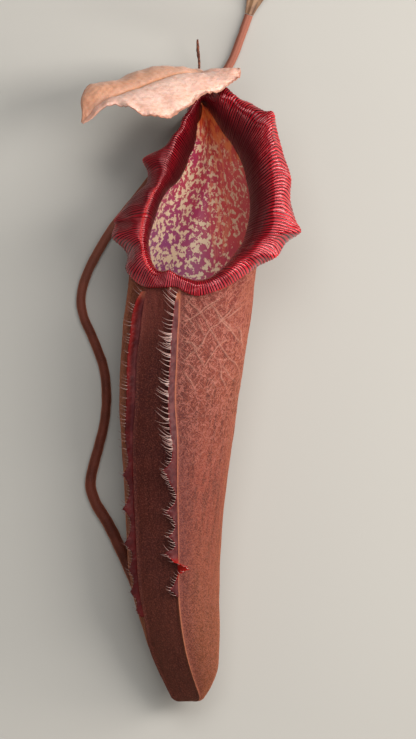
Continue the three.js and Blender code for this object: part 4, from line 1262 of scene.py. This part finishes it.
# The wings
WING_ROWS = 460
WING_COLUMNS = 9
WING_ROOT = 0.3  # how deep a wing's foot is set in the skin
STRIP_STEPS = 201  # points up the neck among which a wing's foot is found
OUTWARD_BASE = 8  # depth under a rib from which the way outwards is taken
BRISTLE_ROOT = 0.88  # share of the wing's width at which a bristle starts
BRISTLE_POINTS = 10
BRISTLE_SIDES = 6
BRISTLE_TONES_AND_HIGHLIGHT = (0.9, 0.45)  # how pale a bristle is at its root and its tip; the paler root is partly a painted highlight


def wing_foot(y, side):
    """Foot of a wing on its keel at each height, and the way it stands out from the cup there."""
    y = np.asarray(y, float)
    low = np.minimum(y, NECK_START)
    turn = rib_turns(low)[side]
    ridge = tube_point(low, turn, 0, KEEL_HEIGHT)
    outward = unit(ridge - tube_point(low, turn, OUTWARD_BASE))
    neck_turn = rib_turns(NECK_START)[side]
    shares = np.linspace(0, 1, STRIP_STEPS)
    strip = neck_point(np.full(STRIP_STEPS, neck_turn), shares, KEEL_HEIGHT)
    t = np.interp(y, strip[:, 1], shares)
    raised = neck_point(np.full(y.shape, neck_turn), t, KEEL_HEIGHT)
    return np.where((y > NECK_START)[..., None], raised, ridge), outward


def wing_direction(rows, y):
    """The way a wing leans at each height."""
    lean = np.radians(along(rows, y, 2))
    return points_of(np.sin(lean), 0 * lean, np.cos(lean))


def wing_width(rows, y):
    """Width of a wing: smooth along its plain edge, and in pointed lobes with hollow sides below it."""
    keys, widths = rows[::-1, 0], rows[::-1, 1]
    i = np.clip(np.searchsorted(keys, y) - 1, 0, len(keys) - 2)
    share = np.clip((y - keys[i]) / (keys[i + 1] - keys[i]), 0, 1)
    rising = np.where(widths[i + 1] > widths[i], share, 1 - share)
    narrow = np.minimum(widths[i], widths[i + 1])
    broad = np.maximum(widths[i], widths[i + 1])
    pointed = narrow + (broad - narrow) * rising**LOBE_POINT
    return np.where(y < LOBES_START - 7, pointed, along(rows, y, 1))


def wing_spread(rows, side, y, share):
    """Points across a wing, which bulges a little: share 0 at its foot and 1 at its edge."""
    skin, outward = wing_foot(y, side)
    width = wing_width(rows, y)[..., None]
    root = skin - outward * WING_ROOT
    edge = skin + outward + wing_direction(rows, y) * width
    return root + (edge - root) * share + outward * 0.2 * width * math.sin(math.pi * share)


def bristle_heights(rows, fringe, chance):
    """Heights of a wing's bristles: in loose groups on its plain edge, and close together on its lobes."""
    heights = []
    y = rows[0, 0]
    while y > rows[-1, 0]:
        heights.append(y)
        gap = fringe["lobe_gap"]
        if y >= LOBES_START:
            within_group = chance.random() < 0.65
            gap = fringe["plain_gap"] * (0.55 if within_group else 1.9)
        y -= gap * chance.uniform(0.8, 1.2)
    return heights


def bristle_rings(rows, side, y, fringe, chance):
    """Rings of points of the tapering bristle at height y, which starts one way and curls another."""
    lobed = y < LOBES_START
    root = wing_spread(rows, side, np.array([y]), BRISTLE_ROOT)[0]
    out = wing_direction(rows, np.array([y]))[0]
    upwards = 0.6 * smooth_share(86, 102, y) + 0.25 * chance.normal()
    start = unit(out * 0.7 + np.array([-0.7, upwards, 0.1 * chance.normal() + 0.1]))
    length = fringe["lobe_length" if lobed else "plain_length"] * chance.uniform(0.5, 1.25)
    radius = fringe["radius"] * chance.uniform(0.75, 1.05) * (0.62 if lobed else 1.0)
    curl = np.array([-0.1, 0.35 + 0.25 * chance.random(), 0.15 * chance.normal()])
    t = np.linspace(0, 1, BRISTLE_POINTS)
    line = root + length * (start * t[:, None] + curl * t[:, None] ** 2)
    return tube_rings(line, radius * (1 - 0.85 * t**0.9), BRISTLE_SIDES)


def wing_masks(side, y, share):
    """A mask for each part of a wing's colouring: share is 0 at its foot and 1 at its edge."""
    plain = smooth_share(LOBES_START - 6, LOBES_START + 8, y)
    if side == 0:
        return {
            "red": smooth_share(0.3, 0.8, share) * (0.2 + 0.8 * plain) * smooth_share(20, 80, y) * 0.3,
            "mauve": smooth_share(0.45, 0.1, share) * 0.4 * plain,
            "tan": smooth_share(101, 106, y) * 0.4,
            "pale": 0 * y,
        }
    return {
        "red": np.clip(1.6 * bump_at(y, -59, 4.0) + 0.25 * smooth_share(0.8, 1, share), 0, 1),
        "mauve": (0.95 - 0.35 * share) * (0.45 + 0.55 * plain),
        "tan": smooth_share(100, 104, y),
        "pale": 0 * y,
    }


def make_wing(name, rows, side, material, fringe, seed):
    """A wing with its lobes, its frilled edge and its bristles as shape. Side is 0 left and 1 right."""
    chance = np.random.default_rng(seed)
    heights = np.linspace(rows[0, 0], rows[-1, 0], WING_ROWS)
    shares = np.linspace(0, 1, WING_COLUMNS)
    grid = np.stack([wing_spread(rows, side, heights, s) for s in shares], axis=1)
    frill = soft_noise(grid, 2.0, seed + 1) * 0.35 * shares[None, :]
    frill = frill + soft_noise(grid, 1.1, seed + 2) * 0.25 * shares[None, :] ** 4
    grid = grid + points_of(frill * 0.4, frill, frill * 0.6)
    thickness = WING_THICKNESS * (1 - 0.5 * shares[None, :]) + 0 * heights[:, None]
    points, faces = blade_mesh(grid, thickness)
    y, share = np.meshgrid(heights, shares, indexing="ij")
    masks = {mark: [np.tile(values.ravel(), 2)] for mark, values in wing_masks(side, y, share).items()}
    all_points = [points]
    count = len(points)
    # Bristles are paler at the root, partly as a painted highlight
    tones_and_highlight = np.repeat(np.linspace(*BRISTLE_TONES_AND_HIGHLIGHT, BRISTLE_POINTS), BRISTLE_SIDES)
    for height in bristle_heights(rows, fringe, chance):
        rings = bristle_rings(rows, side, height, fringe, chance)
        bristle, bristle_faces = capped(rings, start=count)
        all_points.append(bristle)
        faces += bristle_faces
        count += len(bristle)
        tone = chance.uniform(0.4, 1.0) * fringe["pale"]
        masks["pale"].append(np.append(tones_and_highlight, BRISTLE_TONES_AND_HIGHLIGHT) * tone)
        for mark, value in (("red", 0.0), ("mauve", 0.0), ("tan", 0.15)):
            masks[mark].append(np.full(len(bristle), value))
    masks = {mark: np.concatenate(values) for mark, values in masks.items()}
    node = ("wing_left", "wing_right")[side]
    make_piece(name, np.concatenate(all_points), faces, material, node, masks)


# The tendril, the leaf tip and the spur
TENDRIL_ROWS = 420
TENDRIL_SIDES = 28
TENDRIL_FIT = 0.96  # keeps the tendril's lumps inside its drawn radius
LEAF_ROWS = 40
LEAF_ACROSS = np.array([0.93, -0.37, 0.0])
LEAF_HEIGHT = 2.4
LEAF_TOP = 5.1
HALF_FOLD = [(0.12, 0.05), (0.35, 0.1), (0.7, 0.2), (1, 0.3)]  # (place across half the leaf, rise there)
LEAF_FOLD = [(-place, rise) for place, rise in reversed(HALF_FOLD)] + [(0, 0)] + HALF_FOLD
SPUR_ROOT = 0.88  # share of the way up the neck
SPUR_ROWS = 60
SPUR_SIDES = 14


def make_tendril(material):
    """The tendril, a little lumpy and three-sided, with a groove along the top of its young end."""
    rows = spline_rows(TENDRIL, TENDRIL_ROWS)
    radii = rows[:, 2] * TENDRIL_FIT
    rings = tube_rings(points_of(rows[:, 0], rows[:, 1], radii), radii, TENDRIL_SIDES)
    young = smooth_share(60, 235, rings[..., 1])
    turn = (np.arange(TENDRIL_SIDES) + 0.5) / TENDRIL_SIDES * 2 * math.pi
    from_top = np.arctan2(np.sin(turn), np.cos(turn))
    groove = 0.16 * bump_at(from_top, 0.1, 0.25) * smooth_share(0.8, 1, young)
    lumps = soft_noise(rings, 5, 61) * 0.03 + 0.03 * np.cos(turn * 3)[None, :] - groove
    points, faces = capped(above_table(swollen(rings, lumps)))
    masks = {
        "young": with_caps(young, young.shape, 0, 1),
        # The sides are lightened as a painted sheen
        "side": with_caps(0.6 * bump_at(np.abs(from_top), 1.5, 0.4), young.shape),
    }
    make_piece("downy_tendril", points, faces, material, "tendril", masks)


def leaf_section(x, y, half):
    """Loop of points round the leaf at one place along it, with its thick midrib and its raised sides."""
    upper = []
    lower = []
    for place, rise in LEAF_FOLD:
        middle = np.array([x, y, LEAF_HEIGHT])
        top = middle + LEAF_ACROSS * half * place + [0, 0, half * rise + 1.6 * bump_at(place, 0, 0.3) + 0.35]
        upper.append(top)
        lower.append(top - [0, 0, LEAF_THICKNESS + 2.6 * bump_at(place, 0, 0.35)])
    return upper + lower[::-1]


def make_leaf_tip(material):
    """The cut tip of the leaf."""
    rings = np.array([leaf_section(*row) for row in spline_rows(LEAF, LEAF_ROWS)])
    rings[..., 2] = np.clip(rings[..., 2], 0, LEAF_TOP)
    points, faces = capped(rings)
    make_piece("cut_leaf_tip", points, faces, material, "leaf_tip")


def make_spur(material):
    """The spur, from its root on the back of the neck to its rough tip."""
    turn = np.array([math.radians(SPUR_TURN)])
    root = beside_neck(turn, np.array([SPUR_ROOT]), -SPUR_LIFT)[0]
    rows = spline_rows(np.vstack([[*root, 1.0], SPUR]), SPUR_ROWS)
    rings = tube_rings(rows[:, :3], rows[:, 3] * SPUR_RADIUS, SPUR_SIDES)
    points, faces = capped(swollen(rings, 0.12 * soft_noise(rings, 1.2, 63)))
    make_piece("dry_spur", points, faces, material, "spur")


# The table
TABLE_REACH = 3.0


def make_table():
    """The pale table the pitcher lies on."""
    mesh = bpy.data.meshes.new("table")
    corners = [(-1, -1), (1, -1), (1, 1), (-1, 1)]
    mesh.from_pydata([(x * TABLE_REACH, y * TABLE_REACH, 0) for x, y in corners], [], [(0, 1, 2, 3)])
    mesh.materials.append(painted_board())
    table = bpy.data.objects.new("table", mesh)
    bpy.context.scene.collection.objects.link(table)


# Light and camera, in metres
MIDDLE_HEIGHT = 0.04  # of the pitcher over the table
LIGHT_AIM = (0.01, 0.06, MIDDLE_HEIGHT)
ROOM_LIGHT = 0.14
MM_PER_PIXEL = 0.6
PHOTO_SIZE = (416, 739)
ORIGIN_PIXEL = (176, 470)  # where the part's origin lies in the photograph
CAMERA_HEIGHT = 8.0  # over the middle of the pitcher
SENSOR = 36.0  # mm


def add_softbox(name, place, size, watts, colour):
    """A soft rectangular light that faces the pitcher."""
    lamp = bpy.data.lights.new(name, "AREA")
    lamp.shape = "RECTANGLE"
    lamp.size, lamp.size_y = size
    lamp.energy = watts
    lamp.color = srgb(colour)[:3]
    lamp_object = bpy.data.objects.new(name, lamp)
    lamp_object.location = place
    away = np.array(place) - np.array(LIGHT_AIM)
    lamp_object.rotation_mode = "QUATERNION"
    lamp_object.rotation_quaternion = Vector(away).to_track_quat("Z", "Y")
    bpy.context.scene.collection.objects.link(lamp_object)


def light_studio():
    """Soft light from the right and from above, which reaches into the mouth, and weak light all round."""
    bpy.context.scene.view_settings.view_transform = "Standard"
    add_softbox("key_softbox", (0.95, 0.3, 0.75), (0.4, 1.3), 22, "#fff8f2")
    add_softbox("overhead_softbox", (0.1, 0.7, 1.5), (1.2, 0.9), 16, "#fdfbfa")
    add_softbox("front_softbox", (0.2, -0.8, 1.2), (0.6, 0.4), 4.5, "#fffaf4")
    add_softbox("side_softbox", (1.7, 0.0, 0.4), (0.3, 0.75), 11, "#fff2e6")
    add_softbox("rim_softbox", (-1.5, 0.2, 0.6), (0.2, 1.0), 1.5, "#fff6ee")
    world = bpy.data.worlds.new("studio")
    bpy.context.scene.world = world
    world.use_nodes = True
    background = world.node_tree.nodes["Background"]
    background.inputs["Color"].default_value = srgb("#f2f1ef")
    background.inputs["Strength"].default_value = ROOM_LIGHT


def add_camera():
    """Camera straight above, framed as in the photograph and far enough away for its flat view."""
    centre_x = (PHOTO_SIZE[0] / 2 - ORIGIN_PIXEL[0]) * MM_PER_PIXEL
    centre_y = (ORIGIN_PIXEL[1] - PHOTO_SIZE[1] / 2) * MM_PER_PIXEL
    picture_height = PHOTO_SIZE[1] * MM_PER_PIXEL * MM
    data = bpy.data.cameras.new("camera")
    data.sensor_width = SENSOR
    data.lens = SENSOR * CAMERA_HEIGHT / picture_height
    data.clip_end = 4 * CAMERA_HEIGHT
    camera = bpy.data.objects.new("camera", data)
    camera.location = (centre_x * MM, centre_y * MM, CAMERA_HEIGHT + MIDDLE_HEIGHT)
    bpy.context.scene.collection.objects.link(camera)
    bpy.context.scene.camera = camera


add_camera()
light_studio()
make_table()
skin = velvety_skin()
make_cup_skin(skin)
make_cup_lining(waxy_lining())
make_foot(skin)
make_lip(glossy_lip())
make_lid(thin_lid())
wing = wing_tissue()
make_wing("fringed_wing_left", LEFT_WING, 0, wing, LEFT_FRINGE, 71)
make_wing("fringed_wing_right", RIGHT_WING, 1, wing, RIGHT_FRINGE, 72)
make_tendril(downy_stalk())
make_leaf_tip(leaf_tissue())
make_spur(dry_spur_skin())
